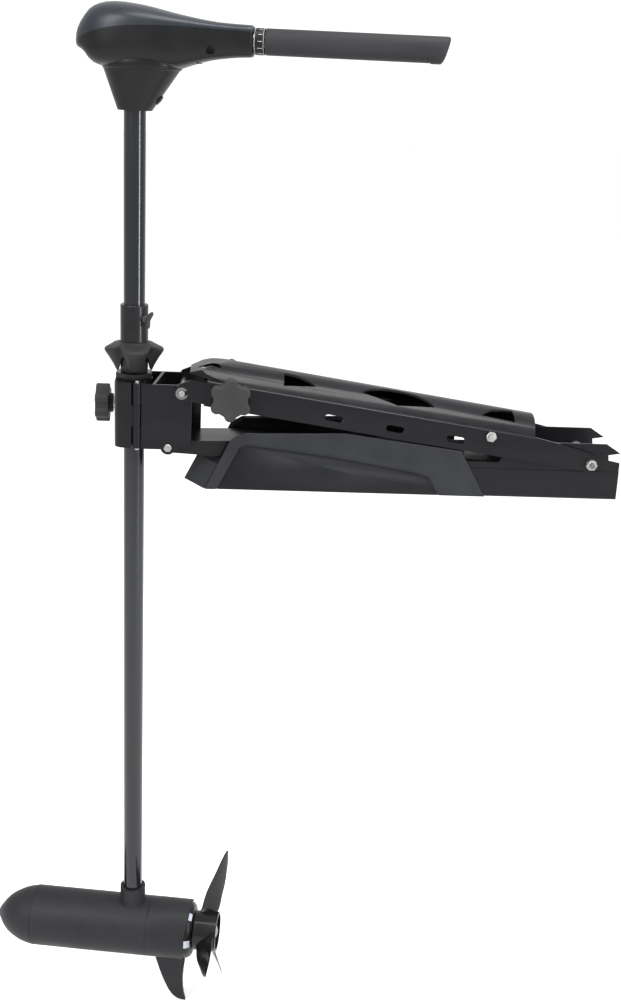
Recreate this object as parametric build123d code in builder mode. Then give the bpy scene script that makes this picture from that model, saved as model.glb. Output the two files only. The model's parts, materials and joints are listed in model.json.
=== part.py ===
"""Hand-steered bow-mount trolling motor on a folding deck mount.

Frame, in millimetres: the origin is the centre of the four deck bolts on the underside of the
base. +X points aft along the mount, +Y to port of it and +Z up. The motor hangs from its shaft at
SHAFT_X, clamped at the depth collar and turned STEER_REST degrees about the shaft.
"""
import os
from math import atan2, cos, degrees, hypot, pi

from build123d import *

os.makedirs("parts", exist_ok=True)

# ---------------------------------------------------------------- driving dimensions
# Fits between bodies that move on each other.
RUN = 0.05              # radial running clearance of a pin or shaft in its hole
GAP = 0.4               # clear space between faces that pass each other

# Shaft: 1-1/8 inch tube.
SHAFT_X = -390.0
SHAFT_R = 28.575 / 2
SHAFT_WALL = 2.6
SHAFT_TOP, SHAFT_BOTTOM = 560.0, -697.0
STEER_REST = -8.3       # heading of the motor in the modelled position

# Deck base, an aluminium channel.
BASE_HALF_W = 45.0
BASE_WALL = 3.5
BASE_FLOOR = 4.0
BASE_FRONT, BASE_REAR = -285.0, 284.0
BASE_TOP = 80.0
RIDGE_Z = 40.5
RIDGE_STEP = 1.0
DECK_SPACING_X, DECK_SPACING_Y = 350.0, 60.0
DECK_HOLE_R = 3.6

# The four pivots of the folding arms, as (x, z).
UPPER_REAR = (242.2, 51.7)
UPPER_FRONT = (-323.2, 132.9)
LOWER_REAR = (194.0, 30.0)
LOWER_FRONT = (-341.3, 55.8)
PIVOT_R = 4.0

# Upper arm, measured along and square to the line between its two pivots.
ARM_IN, ARM_OUT = 45.5, 48.5        # inner and outer half widths of the side plates
ARM_BOTTOM, ARM_TOP = -11.0, 24.0
ARM_FRONT, ARM_TAIL = -540.0, -85.0
INSERT_IN, INSERT_OUT = 42.2, 45.2
HOOD_CREST = 46.0
HOOD_HALF_W = 42.0
HOOD_WALL = 3.0
KNOB_S, KNOB_T = -506.0, 6.0        # lock knobs on the arm
CROSS_S, CROSS_T = -147.3, 15.4     # cross bolt near the tail

# Lower arm, an inverted channel.
LOWER_HALF_W = 33.5
LOWER_WALL = 3.0

# Hinge bracket that holds the shaft.
BRACKET_Z0, BRACKET_Z1 = 53.0, 143.0
BRACKET_HALF_W = 41.0
BRACKET_WALL = 3.0
BUSH_R = 21.0
DOOR_FRONT = -24.5                  # all plan sizes here are from the shaft's axis
HINGE_PIN = (6.6, -34.5)
HINGE_PIN_R = 3.0
HINGE_KNUCKLE_R = 6.0
DOOR_KNOB_Y, DOOR_KNOB_Z = 32.0, 98.0
DOOR_KNOB_R, DOOR_KNOB_LEN = 27.0, 24.0

# Hand nut and depth collar on the shaft.
NECK_R = 16.4
NUT_BOTTOM, NUT_TOP = 151.6, 193.5
NUT_TIP_R, NUT_TIP_Z = 40.0, 184.5
NUT_TURN = 8.0
COLLAR_R = 18.75
COLLAR_BOTTOM, COLLAR_TOP = 194.0, 243.0

# Head and handle, in the motor's own directions from the shaft's axis.
CONE_BOTTOM, CONE_TOP = 491.6, 544.0
HANDLE_Z = 581.2
HEAD_END = 151.0
DIAL_X0, DIAL_X1, DIAL_R = 152.6, 165.2, 16.2
GRIP_X0, GRIP_X1, GRIP_R = 165.8, 397.0, 16.8
TWIST_R = 10.5
SHELL = 2.6

# Lower unit.
UNIT_Z = -742.0
UNIT_R = 45.8
NOSE_TIP, NOSE_SEAM, REAR_SEAM = -216.0, -155.0, 28.0
UNIT_WALL = 3.2
HUB_X0, HUB_X1, HUB_R = 100.5, 136.0, 30.0
BLADE_COUNT, BLADE_START = 3, 37.0
DRIVE_R = 5.0


# ---------------------------------------------------------------- frames of reference
ARM_TILT = degrees(atan2(UPPER_FRONT[1] - UPPER_REAR[1], UPPER_REAR[0] - UPPER_FRONT[0]))
ARM_LENGTH = hypot(UPPER_REAR[0] - UPPER_FRONT[0], UPPER_FRONT[1] - UPPER_REAR[1])
ARM_X = Vector(1, 0, 0).rotate(Axis.Y, ARM_TILT)
ARM_UP = Vector(0, 0, 1).rotate(Axis.Y, ARM_TILT)
LOWER_TILT = degrees(atan2(LOWER_FRONT[1] - LOWER_REAR[1], LOWER_REAR[0] - LOWER_FRONT[0]))
LOWER_LENGTH = hypot(LOWER_REAR[0] - LOWER_FRONT[0], LOWER_FRONT[1] - LOWER_REAR[1])
LOWER_X = Vector(1, 0, 0).rotate(Axis.Y, LOWER_TILT)
MOTOR_X = Vector(1, 0, 0).rotate(Axis.Z, STEER_REST)
MOTOR_Y = Vector(0, 1, 0).rotate(Axis.Z, STEER_REST)
SIDES = {"near": -1, "far": 1}


def side_plane(y):
    """Upright plane along the mount: local x is aft, local y is up."""
    return Plane(origin=(0, y, 0), x_dir=(1, 0, 0), z_dir=(0, -1, 0))


def arm_plane(y):
    """Upright plane along the upper arm, from its rear pivot."""
    return Plane(origin=(UPPER_REAR[0], y, UPPER_REAR[1]), x_dir=ARM_X, z_dir=(0, -1, 0))


def arm_across(s):
    """Plane square to the upper arm at s: local x is athwart, local y is the arm's up."""
    origin = Vector(UPPER_REAR[0], 0, UPPER_REAR[1]) + ARM_X * s
    return Plane(origin=origin, x_dir=(0, 1, 0), z_dir=ARM_X)


def arm_top(t):
    """Plane facing the arm's up at height t: local x is aft along the arm, local y athwart."""
    origin = Vector(UPPER_REAR[0], 0, UPPER_REAR[1]) + ARM_UP * t
    return Plane(origin=origin, x_dir=ARM_X, z_dir=ARM_UP)


def lower_plane(y):
    """Upright plane along the lower arm, from its rear pivot."""
    return Plane(origin=(LOWER_REAR[0], y, LOWER_REAR[1]), x_dir=LOWER_X, z_dir=(0, -1, 0))


def shaft_level(z):
    """Level plane at height z, centred on the shaft and square to the mount."""
    return Plane(origin=(SHAFT_X, 0, z))


def motor_level(z):
    """Level plane at height z, centred on the shaft: local x is the motor's aft."""
    return Plane(origin=(SHAFT_X, 0, z), x_dir=MOTOR_X, z_dir=(0, 0, 1))


def motor_side(y=0.0):
    """Upright plane along the motor: local x is its aft, local y is up."""
    return Plane(origin=Vector(SHAFT_X, 0, 0) + MOTOR_Y * y, x_dir=MOTOR_X, z_dir=-MOTOR_Y)


def motor_across(x, z=0.0):
    """Plane square to the motor's length at x: local x is athwart, local y is up from z."""
    return Plane(origin=Vector(SHAFT_X, 0, z) + MOTOR_X * x, x_dir=MOTOR_Y, z_dir=MOTOR_X)


def write(part, name):
    """Label a finished piece and write it as its own STEP file."""
    part.label = name
    export_step(part, f"parts/{name}.step")


def rod(plane, length, radius):
    """A plain round bar along a plane's normal."""
    with BuildPart() as bar:
        with BuildSketch(plane):
            Circle(radius)
        extrude(amount=length)
    return bar.part


def tube(plane, length, outer, inner):
    """A round tube along a plane's normal."""
    with BuildPart() as pipe:
        with BuildSketch(plane):
            Circle(outer)
            Circle(inner, mode=Mode.SUBTRACT)
        extrude(amount=length)
    return pipe.part


def hex_nut(plane, height, across_flats, hole_r):
    """A hexagon nut with its outer corners rounded off, standing on a plane."""
    corner_r = across_flats / 2 / cos(pi / 6)
    with BuildPart() as nut:
        with BuildSketch(plane):
            RegularPolygon(corner_r, 6)
        extrude(amount=height)
        with BuildSketch(plane):
            Circle(corner_r * 0.98)
        extrude(amount=height, taper=8, mode=Mode.INTERSECT)
        with BuildSketch(plane):
            Circle(hole_r)
        extrude(amount=height, mode=Mode.SUBTRACT)
    return nut.part


def bar_across(place, point, y0, y1, radius, hole=0.0):
    """A round bar or tube athwart, from y0 to y1, at a point of an upright plane."""
    with BuildPart() as bar:
        with BuildSketch(place(y0)):
            with Locations(point):
                Circle(radius)
                if hole:
                    Circle(hole, mode=Mode.SUBTRACT)
        extrude(amount=y0 - y1)
    return bar.part


def hex_across(place, point, y0, y1, across_flats):
    """A hexagon head or nut athwart, from y0 to y1, at a point of an upright plane."""
    with BuildPart() as head:
        with BuildSketch(place(y0)):
            with Locations(point):
                RegularPolygon(across_flats / 2 / cos(pi / 6), 6)
        extrude(amount=y0 - y1)
        chamfer(head.faces().sort_by(Axis.Y)[0 if y1 < y0 else -1].edges(), 0.6)
    return head.part


# ---------------------------------------------------------------- deck base (fixed)
with BuildPart() as base_channel:
    with BuildSketch(side_plane(0)):
        with BuildLine():
            Polyline(
                (BASE_FRONT, 0), (BASE_REAR, 0), (BASE_REAR - 0.5, 53.4), (267.5, 56.7),
                (266.5, 64.5), (BASE_REAR - 1, 67.3), (262.8, BASE_TOP), (-236, BASE_TOP),
                (-252, 66), close=True,
            )
        make_face()
    extrude(amount=BASE_HALF_W, both=True)
    fillet(base_channel.edges().filter_by(Axis.X).group_by(Axis.Z)[0], 3)
    with BuildSketch(Plane.YZ.offset(BASE_FRONT - 1)):
        with Locations((0, BASE_FLOOR + BASE_TOP / 2)):
            Rectangle(2 * (BASE_HALF_W - BASE_WALL), BASE_TOP)
        for side in SIDES.values():
            with Locations((side * BASE_HALF_W, (RIDGE_Z + BASE_TOP) / 2 + 5)):
                Rectangle(2 * RIDGE_STEP, BASE_TOP - RIDGE_Z + 10)
    extrude(amount=BASE_REAR - BASE_FRONT + 2, mode=Mode.SUBTRACT)
    with BuildSketch(side_plane(0)):
        with Locations((91, 59), (-60, 59)):
            RectangleRounded(52, 18, 4)
        with Locations(UPPER_REAR):
            Circle(PIVOT_R)
    extrude(amount=BASE_HALF_W, both=True, mode=Mode.SUBTRACT)
    with BuildSketch():
        with GridLocations(DECK_SPACING_X, DECK_SPACING_Y, 2, 2):
            Circle(DECK_HOLE_R)
    extrude(amount=BASE_FLOOR, mode=Mode.SUBTRACT)
write(base_channel.part, "base_channel")

COVER_IN, COVER_OUT, PANEL_DEPTH, PANEL_BEVEL = 45.2, 49.0, 2.2, 45
for name, side in SIDES.items():
    with BuildPart() as side_cover:
        with BuildSketch(side_plane(side * COVER_IN)):
            with BuildLine():
                Polyline(
                    (-290, 0.6), (-256.5, 71.6), (-241, 80.5), (-101, 85), (60, 65.2),
                    (97, 0.6), close=True,
                )
            make_face()
        extrude(amount=side * (COVER_IN - COVER_OUT))
        fillet(side_cover.edges().filter_by(Axis.Y).sort_by(Axis.Z)[-3:], 8)
        outer_face = side_cover.faces().filter_by(Axis.Y).sort_by(Axis.Y)[-1 if side > 0 else 0]
        fillet(outer_face.edges(), 1.2)
        with BuildSketch(side_plane(side * (COVER_OUT - PANEL_DEPTH))):
            with BuildLine():
                Polyline(
                    (-274.5, -1), (-245.5, 60), (-236, 65), (-120, 52.1), (-1, 32.6),
                    (18, 26.3), (33, -1), close=True,
                )
            make_face()
        extrude(amount=-side * PANEL_DEPTH, taper=-PANEL_BEVEL, mode=Mode.SUBTRACT)
    write(side_cover.part, f"side_cover_{name}")

# The prow leans aft at the same angle as the covers' front edges.
RAMP_NOSE, RAMP_WING, RAMP_TOP, RAMP_WALL, RAMP_LIFT = -320.0, -292.0, 36.0, 6.0, 0.6
LEAN = Vector(0.5, 0, 1)
with BuildPart() as front_ramp:
    with BuildSketch(Plane.XY.offset(RAMP_LIFT)):
        with BuildLine():
            Polyline(
                (RAMP_NOSE, 0), (RAMP_WING, -BASE_HALF_W), (RAMP_WING + RAMP_WALL, -BASE_HALF_W),
                (RAMP_NOSE + RAMP_WALL, 0), (RAMP_WING + RAMP_WALL, BASE_HALF_W),
                (RAMP_WING, BASE_HALF_W), close=True,
            )
        make_face()
    extrude(amount=(RAMP_TOP - RAMP_LIFT) * LEAN.length, dir=LEAN)
    with BuildSketch(Plane.XY.offset(RAMP_TOP - 3)):
        with BuildLine():
            Polyline(
                (-301.5, 0), (-273.5, -44.5), (-270, -44.5), (-270, -41), (-250, -41),
                (-250, 41), (-270, 41), (-270, 44.5), (-273.5, 44.5), close=True,
            )
        make_face()
    extrude(amount=3)
write(front_ramp.part, "front_ramp")

INNER_W = BASE_HALF_W - BASE_WALL
REAR_BOLT_END = ARM_OUT + 9.0
with BuildPart() as rear_pivot_bolts:
    for side in SIDES.values():
        add(bar_across(side_plane, UPPER_REAR, side * (INNER_W - 6), side * INNER_W, 9))
        add(bar_across(side_plane, UPPER_REAR, side * INNER_W, side * REAR_BOLT_END, PIVOT_R))
write(rear_pivot_bolts.part, "rear_pivot_bolts")

with BuildPart() as rear_pivot_nuts:
    for side in SIDES.values():
        add(bar_across(side_plane, UPPER_REAR, side * (ARM_OUT + 0.1), side * (ARM_OUT + 1.4), 7.5))
        add(hex_across(side_plane, UPPER_REAR, side * (ARM_OUT + 1.4), side * (ARM_OUT + 7), 13))
        add(bar_across(side_plane, UPPER_REAR, side * ARM_OUT, side * REAR_BOLT_END, PIVOT_R),
            mode=Mode.SUBTRACT)
write(rear_pivot_nuts.part, "rear_pivot_nuts")

LUG_IN, LUG_OUT = 25.0, 29.5
with BuildPart() as lower_pivot_bracket:
    with BuildSketch(side_plane(0)):
        with BuildLine():
            Polyline((174, 7), (174, BASE_FLOOR), (214, BASE_FLOOR), (214, 7), close=True)
        make_face()
    extrude(amount=LUG_OUT, both=True)
    for side in SIDES.values():
        with BuildSketch(side_plane(side * LUG_IN)):
            with Locations(LOWER_REAR):
                Circle(8)
            with BuildLine():
                Polyline((180, 6), (208, 6), (202, 30), (186, 30), close=True)
            make_face()
        extrude(amount=side * (LUG_IN - LUG_OUT))
    with BuildSketch(side_plane(0)):
        with Locations(LOWER_REAR):
            Circle(PIVOT_R)
    extrude(amount=LUG_OUT, both=True, mode=Mode.SUBTRACT)
write(lower_pivot_bracket.part, "lower_pivot_bracket")

lower_pivot_pin = bar_across(side_plane, LOWER_REAR, -36, 36, PIVOT_R)
write(lower_pivot_pin, "lower_pivot_pin")

# ---------------------------------------------------------------- lower arm
LOWER_END_R = 9.0
LINK_HOLE_R, LINK_BOLT_R = 5.9, 3.4
with BuildPart() as lower_arm:
    with BuildSketch(lower_plane(0)):
        with BuildLine():
            Polyline(
                (0, -LOWER_END_R), (-LOWER_LENGTH, -LOWER_END_R), (-LOWER_LENGTH - 6, -5),
                (-LOWER_LENGTH - 6, 9.5), (-LOWER_LENGTH + 30, 10), (-LOWER_LENGTH + 90, 14.5),
                (-20, 14.5), (6, 11), (LOWER_END_R, 5), (LOWER_END_R, -4), close=True,
            )
        make_face()
    extrude(amount=LOWER_HALF_W, both=True)
    with BuildSketch(lower_plane(0)):
        with BuildLine():
            Polyline(
                (20, -20), (-LOWER_LENGTH - 20, -20), (-LOWER_LENGTH - 20, 6.5),
                (-LOWER_LENGTH + 30, 7), (-LOWER_LENGTH + 90, 11.5), (20, 11.5), close=True,
            )
        make_face()
    extrude(amount=LOWER_HALF_W - LOWER_WALL, both=True, mode=Mode.SUBTRACT)
    with BuildSketch(lower_plane(0)):
        Circle(PIVOT_R + RUN)
        with Locations((-LOWER_LENGTH, 0)):
            Circle(LINK_HOLE_R)
    extrude(amount=LOWER_HALF_W, both=True, mode=Mode.SUBTRACT)
write(lower_arm.part, "lower_arm")

# ---------------------------------------------------------------- upper arm
BEND_R = 4.5
ARM_SLOTS = [(-364, 2.3), (-279, 2.3), (-194, 2.3)]
for name, side in SIDES.items():
    with BuildPart() as arm_plate:
        with BuildSketch(arm_plane(side * ARM_IN)):
            with BuildLine():
                Polyline(
                    (ARM_FRONT, ARM_BOTTOM), (0, ARM_BOTTOM), (9, -6), (12.5, 1.5), (9, 9),
                    (0, 14.3), (-47, 21), (ARM_TAIL, ARM_TOP), (ARM_FRONT, ARM_TOP), close=True,
                )
            make_face()
        extrude(amount=side * (ARM_IN - ARM_OUT))
        with BuildSketch(arm_across(ARM_FRONT)):
            with Locations((side * (ARM_OUT - 7), ARM_TOP - 1.5)):
                Rectangle(14, 3)
        extrude(amount=ARM_TAIL - ARM_FRONT)
        with BuildSketch(arm_across(ARM_FRONT)):
            with Locations((side * ARM_OUT, ARM_TOP)):
                Rectangle(2 * BEND_R, 2 * BEND_R)
            with Locations((side * (ARM_OUT - BEND_R), ARM_TOP - BEND_R)):
                Circle(BEND_R, mode=Mode.SUBTRACT)
                Rectangle(2 * BEND_R, 2 * BEND_R, align=(Align.CENTER, Align.MAX),
                          mode=Mode.SUBTRACT)
            with Locations((side * (ARM_OUT - BEND_R), ARM_TOP - BEND_R)):
                Rectangle(BEND_R, 4 * BEND_R,
                          align=(Align.MAX if side > 0 else Align.MIN, Align.CENTER),
                          mode=Mode.SUBTRACT)
        extrude(amount=ARM_TAIL - ARM_FRONT, mode=Mode.SUBTRACT)
        with BuildSketch(arm_plane(side * ARM_IN)):
            with Locations(*ARM_SLOTS):
                SlotOverall(25, 9)
            with Locations((0, 0)):
                Circle(PIVOT_R + RUN)
            with Locations((CROSS_S, CROSS_T)):
                Circle(PIVOT_R)
            with Locations((KNOB_S, KNOB_T)):
                Circle(PIVOT_R + RUN)
        extrude(amount=side * (ARM_IN - ARM_OUT), mode=Mode.SUBTRACT)
    write(arm_plate.part, f"arm_plate_{name}")

INSERT_BACK = -400.0
EAR_R = 11.5
with BuildPart() as arm_insert:
    with BuildSketch(arm_plane(0)):
        with BuildLine():
            Polyline(
                (-ARM_LENGTH, -EAR_R), (-ARM_LENGTH + 12, -9.5), (INSERT_BACK, -9.5),
                (INSERT_BACK, 20), (-563, 20), (-ARM_LENGTH - 6, EAR_R), (-ARM_LENGTH, 0),
                close=True,
            )
        make_face()
        with Locations((-ARM_LENGTH, 0)):
            Circle(EAR_R)
    extrude(amount=INSERT_OUT, both=True)
    with BuildSketch(arm_plane(0)):
        with BuildLine():
            Polyline((-600, -40), (INSERT_BACK + 1, -40), (INSERT_BACK + 1, 17), (-545, 17),
                     (-545, 40), (-600, 40), close=True)
        make_face()
    extrude(amount=INSERT_IN, both=True, mode=Mode.SUBTRACT)
    with BuildSketch(arm_plane(0)):
        with Locations((-ARM_LENGTH, 0)):
            Circle(PIVOT_R)
        with Locations((KNOB_S, KNOB_T)):
            Circle(PIVOT_R + RUN)
    extrude(amount=INSERT_OUT, both=True, mode=Mode.SUBTRACT)
write(arm_insert.part, "arm_insert")

cross_spacer = bar_across(arm_plane, (CROSS_S, CROSS_T), -ARM_IN, ARM_IN, 5.5, PIVOT_R)
write(cross_spacer, "cross_spacer")

with BuildPart() as cross_bolt:
    add(bar_across(arm_plane, (CROSS_S, CROSS_T), -ARM_OUT - 7, ARM_OUT, PIVOT_R))
    add(hex_across(arm_plane, (CROSS_S, CROSS_T), ARM_OUT, ARM_OUT + 5, 13))
write(cross_bolt.part, "cross_bolt")

with BuildPart() as cross_nut:
    add(hex_across(arm_plane, (CROSS_S, CROSS_T), -ARM_OUT, -ARM_OUT - 5.5, 13))
    add(bar_across(arm_plane, (CROSS_S, CROSS_T), -ARM_OUT, -ARM_OUT - 6, PIVOT_R),
        mode=Mode.SUBTRACT)
write(cross_nut.part, "cross_nut")

FRONT_PIN_HALF = 48.4
front_pivot_pin = bar_across(side_plane, UPPER_FRONT, -FRONT_PIN_HALF, FRONT_PIN_HALF, PIVOT_R)
write(front_pivot_pin, "front_pivot_pin")

with BuildPart() as pin_clips:
    for side in SIDES.values():
        with BuildSketch(side_plane(side * (INSERT_OUT + 0.1))):
            with Locations(UPPER_FRONT):
                Circle(8.2)
                Circle(PIVOT_R, mode=Mode.SUBTRACT)
            with Locations((UPPER_FRONT[0] + 6, UPPER_FRONT[1] + 1)):
                Rectangle(8, 6, rotation=20, mode=Mode.SUBTRACT)
        extrude(amount=-side * 1.4)
write(pin_clips.part, "pin_clips")


def hood_body(inset):
    """The hood's outer form, or with an inset the space inside it."""
    half, crest = HOOD_HALF_W - inset, HOOD_CREST - inset
    front = [(-565 + inset, 26), (-538 + inset, 40), (-511 + inset, crest + 0.5)]
    plan = [(-565 + inset, 24 - inset), (-543 + inset, 37 - inset), (-515 + inset, half + 0.5)]
    with BuildPart() as form:
        with BuildSketch(arm_across(ARM_TAIL + inset)):
            with BuildLine():
                ThreePointArc((-half, ARM_TOP), (0, crest), (half, ARM_TOP))
                Line((half, ARM_TOP), (-half, ARM_TOP))
            make_face()
        extrude(amount=-500)
        with BuildSketch(arm_plane(0)):
            with BuildLine():
                Polyline(*front, (ARM_TAIL + inset, crest + 0.5), (ARM_TAIL + inset, ARM_TOP - 1),
                         (front[0][0], ARM_TOP - 1), close=True)
            make_face()
        extrude(amount=60, both=True, mode=Mode.INTERSECT)
        with BuildSketch(arm_top(0)):
            with BuildLine():
                Polyline(*plan, (ARM_TAIL + inset, half + 0.5), (ARM_TAIL + inset, -half - 0.5),
                         *[(s, -y) for s, y in plan[::-1]], close=True)
            make_face()
        extrude(amount=60, mode=Mode.INTERSECT)
    return form.part


def cutout(tail, low, nose, high, side):
    """A blade-shaped window in the hood, through its corners and along a bowed inner edge."""
    with BuildSketch(arm_top(HOOD_CREST + 4)) as window:
        with BuildLine():
            Polyline(*[(s, side * y) for s, y in (tail, low, nose)])
            ThreePointArc(*[(s, side * y) for s, y in (nose, high, tail)])
        make_face()
    return window.sketch


# Windows alternate between the two sides of the crest.
hood_windows = [
    cutout((-439, 12), (-438, 35), (-394, 29), (-412, 17), SIDES["near"]),
    cutout((-331, 25), (-280, 35), (-228, 29), (-285, 4), SIDES["near"]),
    cutout((-116, 5), (-114, 30), (-163, 28), (-142, 11), SIDES["near"]),
    cutout((-556, 6), (-548, 22), (-524, 26), (-538, 8), SIDES["near"]),
    cutout((-520, 12), (-519, 33), (-478, 28), (-497, 16), SIDES["far"]),
    cutout((-398, 26), (-360, 34), (-318, 28), (-359, 9), SIDES["far"]),
    cutout((-236, 26), (-192, 34), (-150, 28), (-193, 9), SIDES["far"]),
]

with BuildPart() as arm_cover:
    add(hood_body(0))
    add(hood_body(HOOD_WALL), mode=Mode.SUBTRACT)
    for window in hood_windows:
        extrude(window, amount=-(HOOD_CREST + 3 - ARM_TOP), mode=Mode.SUBTRACT)
write(arm_cover.part, "arm_cover")


def star_knob(plane, outward, hub, depth, lobe_r, reach, lobes, turn, stud_r):
    """A lobed knob growing from a plane: a round hub, then the lobes, bored for its stud."""
    with BuildPart() as knob:
        with BuildSketch(plane):
            Circle(0.5 * reach)
        extrude(amount=outward * hub)
        with BuildSketch(plane.offset(outward * hub)):
            Circle(0.8 * reach)
            with PolarLocations(reach - lobe_r, lobes, start_angle=turn):
                Circle(lobe_r)
            fillet(vertices(), 0.4 * lobe_r)
        extrude(amount=outward * (depth - hub))
        rim = knob.faces().sort_by(Axis(plane.origin, plane.z_dir * outward))[-1]
        fillet(rim.edges(), 2.5)
        with BuildSketch(plane):
            Circle(stud_r)
        extrude(amount=outward * (depth - 6), mode=Mode.SUBTRACT)
    return knob.part


ARM_KNOB_R, ARM_KNOB_IN, ARM_KNOB_OUT = 29.0, 49.0, 68.0
LOBE_R, LOBES = 8.0, 6
CLAMP_NUT = 5.5
KNOB_POINT = Vector(UPPER_REAR[0], 0, UPPER_REAR[1]) + ARM_X * KNOB_S + ARM_UP * KNOB_T
for name, side in SIDES.items():
    face = Plane(origin=(KNOB_POINT.X, side * ARM_KNOB_IN, KNOB_POINT.Z), x_dir=ARM_X,
                 z_dir=(0, -1, 0))
    arm_knob = star_knob(face, -side, 3, ARM_KNOB_OUT - ARM_KNOB_IN, LOBE_R, ARM_KNOB_R, LOBES, 98,
                         PIVOT_R)
    write(arm_knob, f"arm_knob_{name}")
    write(bar_across(arm_plane, (KNOB_S, KNOB_T), side * (INSERT_IN - 7), side * (ARM_KNOB_OUT - 7),
                     PIVOT_R), f"arm_knob_stud_{name}")

with BuildPart() as clamp_nuts:
    for side in SIDES.values():
        add(hex_across(arm_plane, (KNOB_S, KNOB_T), side * INSERT_IN,
                       side * (INSERT_IN - CLAMP_NUT), 13))
        add(bar_across(arm_plane, (KNOB_S, KNOB_T), side * INSERT_IN, side * (INSERT_IN - 6),
                       PIVOT_R + RUN), mode=Mode.SUBTRACT)
write(clamp_nuts.part, "clamp_nuts")

# ---------------------------------------------------------------- hinge bracket and its door
SEAT_WALL = 4.0
FRONT_U, RIB_U, PLATE_END_U, FAR_PLATE_END_U = 1.0, 14.0, 80.0, 91.0
STUB_IN, STUB_R = 34.0, 10.0
BRACKET_HEIGHT = BRACKET_Z1 - BRACKET_Z0
KNUCKLE = BRACKET_HEIGHT / 3
UPPER_FRONT_U, LOWER_FRONT_U = UPPER_FRONT[0] - SHAFT_X, LOWER_FRONT[0] - SHAFT_X


def plan_box(u0, u1, v0, v1, mode=Mode.ADD):
    """A rectangle in the current sketch between two corners."""
    with Locations(((u0 + u1) / 2, (v0 + v1) / 2)):
        Rectangle(u1 - u0, v1 - v0, mode=mode)


def bracket_side(y):
    """Upright plane along the mount whose local x starts at the shaft's axis."""
    return Plane(origin=(SHAFT_X, y, 0), x_dir=(1, 0, 0), z_dir=(0, -1, 0))


with BuildPart() as hinge_bracket:
    with BuildSketch(shaft_level(BRACKET_Z0)):
        Circle(BUSH_R + SEAT_WALL)
        plan_box(-40, FRONT_U, -50, 50, Mode.SUBTRACT)
        plan_box(FRONT_U, FRONT_U + 4, -28, BRACKET_HALF_W)
        plan_box(FRONT_U, FAR_PLATE_END_U, BRACKET_HALF_W - BRACKET_WALL, BRACKET_HALF_W)
        plan_box(RIB_U, PLATE_END_U, -BRACKET_HALF_W, -BRACKET_HALF_W + BRACKET_WALL)
        plan_box(RIB_U, RIB_U + 4, -BRACKET_HALF_W, -14)
        plan_box(HINGE_PIN[0], RIB_U + 2, HINGE_PIN[1] - 3, HINGE_PIN[1] + 3)
        with Locations(HINGE_PIN):
            Circle(HINGE_KNUCKLE_R)
        with BuildLine():
            Polyline((27, -40), (31, -40), (40, 40), (36, 40), close=True)
        make_face()
        Circle(BUSH_R, mode=Mode.SUBTRACT)
        with Locations(HINGE_PIN):
            Circle(HINGE_PIN_R, mode=Mode.SUBTRACT)
    extrude(amount=BRACKET_HEIGHT)
    with BuildSketch(shaft_level(BRACKET_Z0 + KNUCKLE)):
        with Locations(HINGE_PIN):
            Circle(HINGE_KNUCKLE_R + GAP)
    extrude(amount=KNUCKLE, mode=Mode.SUBTRACT)
    for side in SIDES.values():
        with BuildSketch(bracket_side(side * STUB_IN)):
            with Locations((LOWER_FRONT_U, LOWER_FRONT[1])):
                Circle(STUB_R)
        extrude(amount=side * (STUB_IN - BRACKET_HALF_W))
        with BuildSketch(bracket_side(side * (BRACKET_HALF_W + 1))):
            plan_box(FRONT_U + 60, FAR_PLATE_END_U + 1, BRACKET_Z0 - 1, BRACKET_Z0 + 4)
        extrude(amount=side * 8, mode=Mode.SUBTRACT)
        with BuildSketch(bracket_side(side * STUB_IN)):
            with Locations((LOWER_FRONT_U, LOWER_FRONT[1])):
                Circle(STUB_R)
        extrude(amount=side * (STUB_IN - BRACKET_HALF_W))
    with BuildSketch(bracket_side(0)):
        with Locations((UPPER_FRONT_U, UPPER_FRONT[1])):
            Circle(PIVOT_R + RUN)
        with Locations((LOWER_FRONT_U, LOWER_FRONT[1])):
            Circle(PIVOT_R)
    extrude(amount=BRACKET_HALF_W, both=True, mode=Mode.SUBTRACT)
write(hinge_bracket.part, "hinge_bracket")

LINK_END = 29.0
with BuildPart() as lower_link_bolts:
    for side in SIDES.values():
        add(bar_across(side_plane, LOWER_FRONT, side * LINK_END, side * BRACKET_HALF_W,
                       LINK_BOLT_R))
        add(bar_across(side_plane, LOWER_FRONT, side * STUB_IN, side * BRACKET_HALF_W, PIVOT_R))
        add(hex_across(side_plane, LOWER_FRONT, side * BRACKET_HALF_W,
                       side * (BRACKET_HALF_W + 3.4), 10))
write(lower_link_bolts.part, "lower_link_bolts")

HINGE_PIN_LIP = 3.0
door_hinge_pin = rod(
    Plane(origin=(SHAFT_X + HINGE_PIN[0], HINGE_PIN[1], BRACKET_Z0 - HINGE_PIN_LIP)),
    BRACKET_HEIGHT + 2 * HINGE_PIN_LIP, HINGE_PIN_R)
write(door_hinge_pin, "door_hinge_pin")

FLANGE_ACROSS, FLANGE_TOP, NECK_TOP = 48.0, 151.0, 185.0
with BuildPart() as shaft_bushing:
    with BuildSketch(shaft_level(BRACKET_Z0)):
        Circle(BUSH_R)
    extrude(amount=BRACKET_HEIGHT + 1)
    with BuildSketch(shaft_level(BRACKET_Z1 + GAP)):
        RegularPolygon(FLANGE_ACROSS / 2 / cos(pi / 8), 8, rotation=22.5)
    extrude(amount=FLANGE_TOP - BRACKET_Z1 - GAP)
    with BuildSketch(shaft_level(FLANGE_TOP)):
        Circle(NECK_R)
    extrude(amount=NECK_TOP - FLANGE_TOP)
    with BuildSketch(shaft_level(BRACKET_Z0)):
        Circle(SHAFT_R + RUN)
    extrude(amount=NECK_TOP - BRACKET_Z0, mode=Mode.SUBTRACT)
write(shaft_bushing.part, "shaft_bushing")

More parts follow.
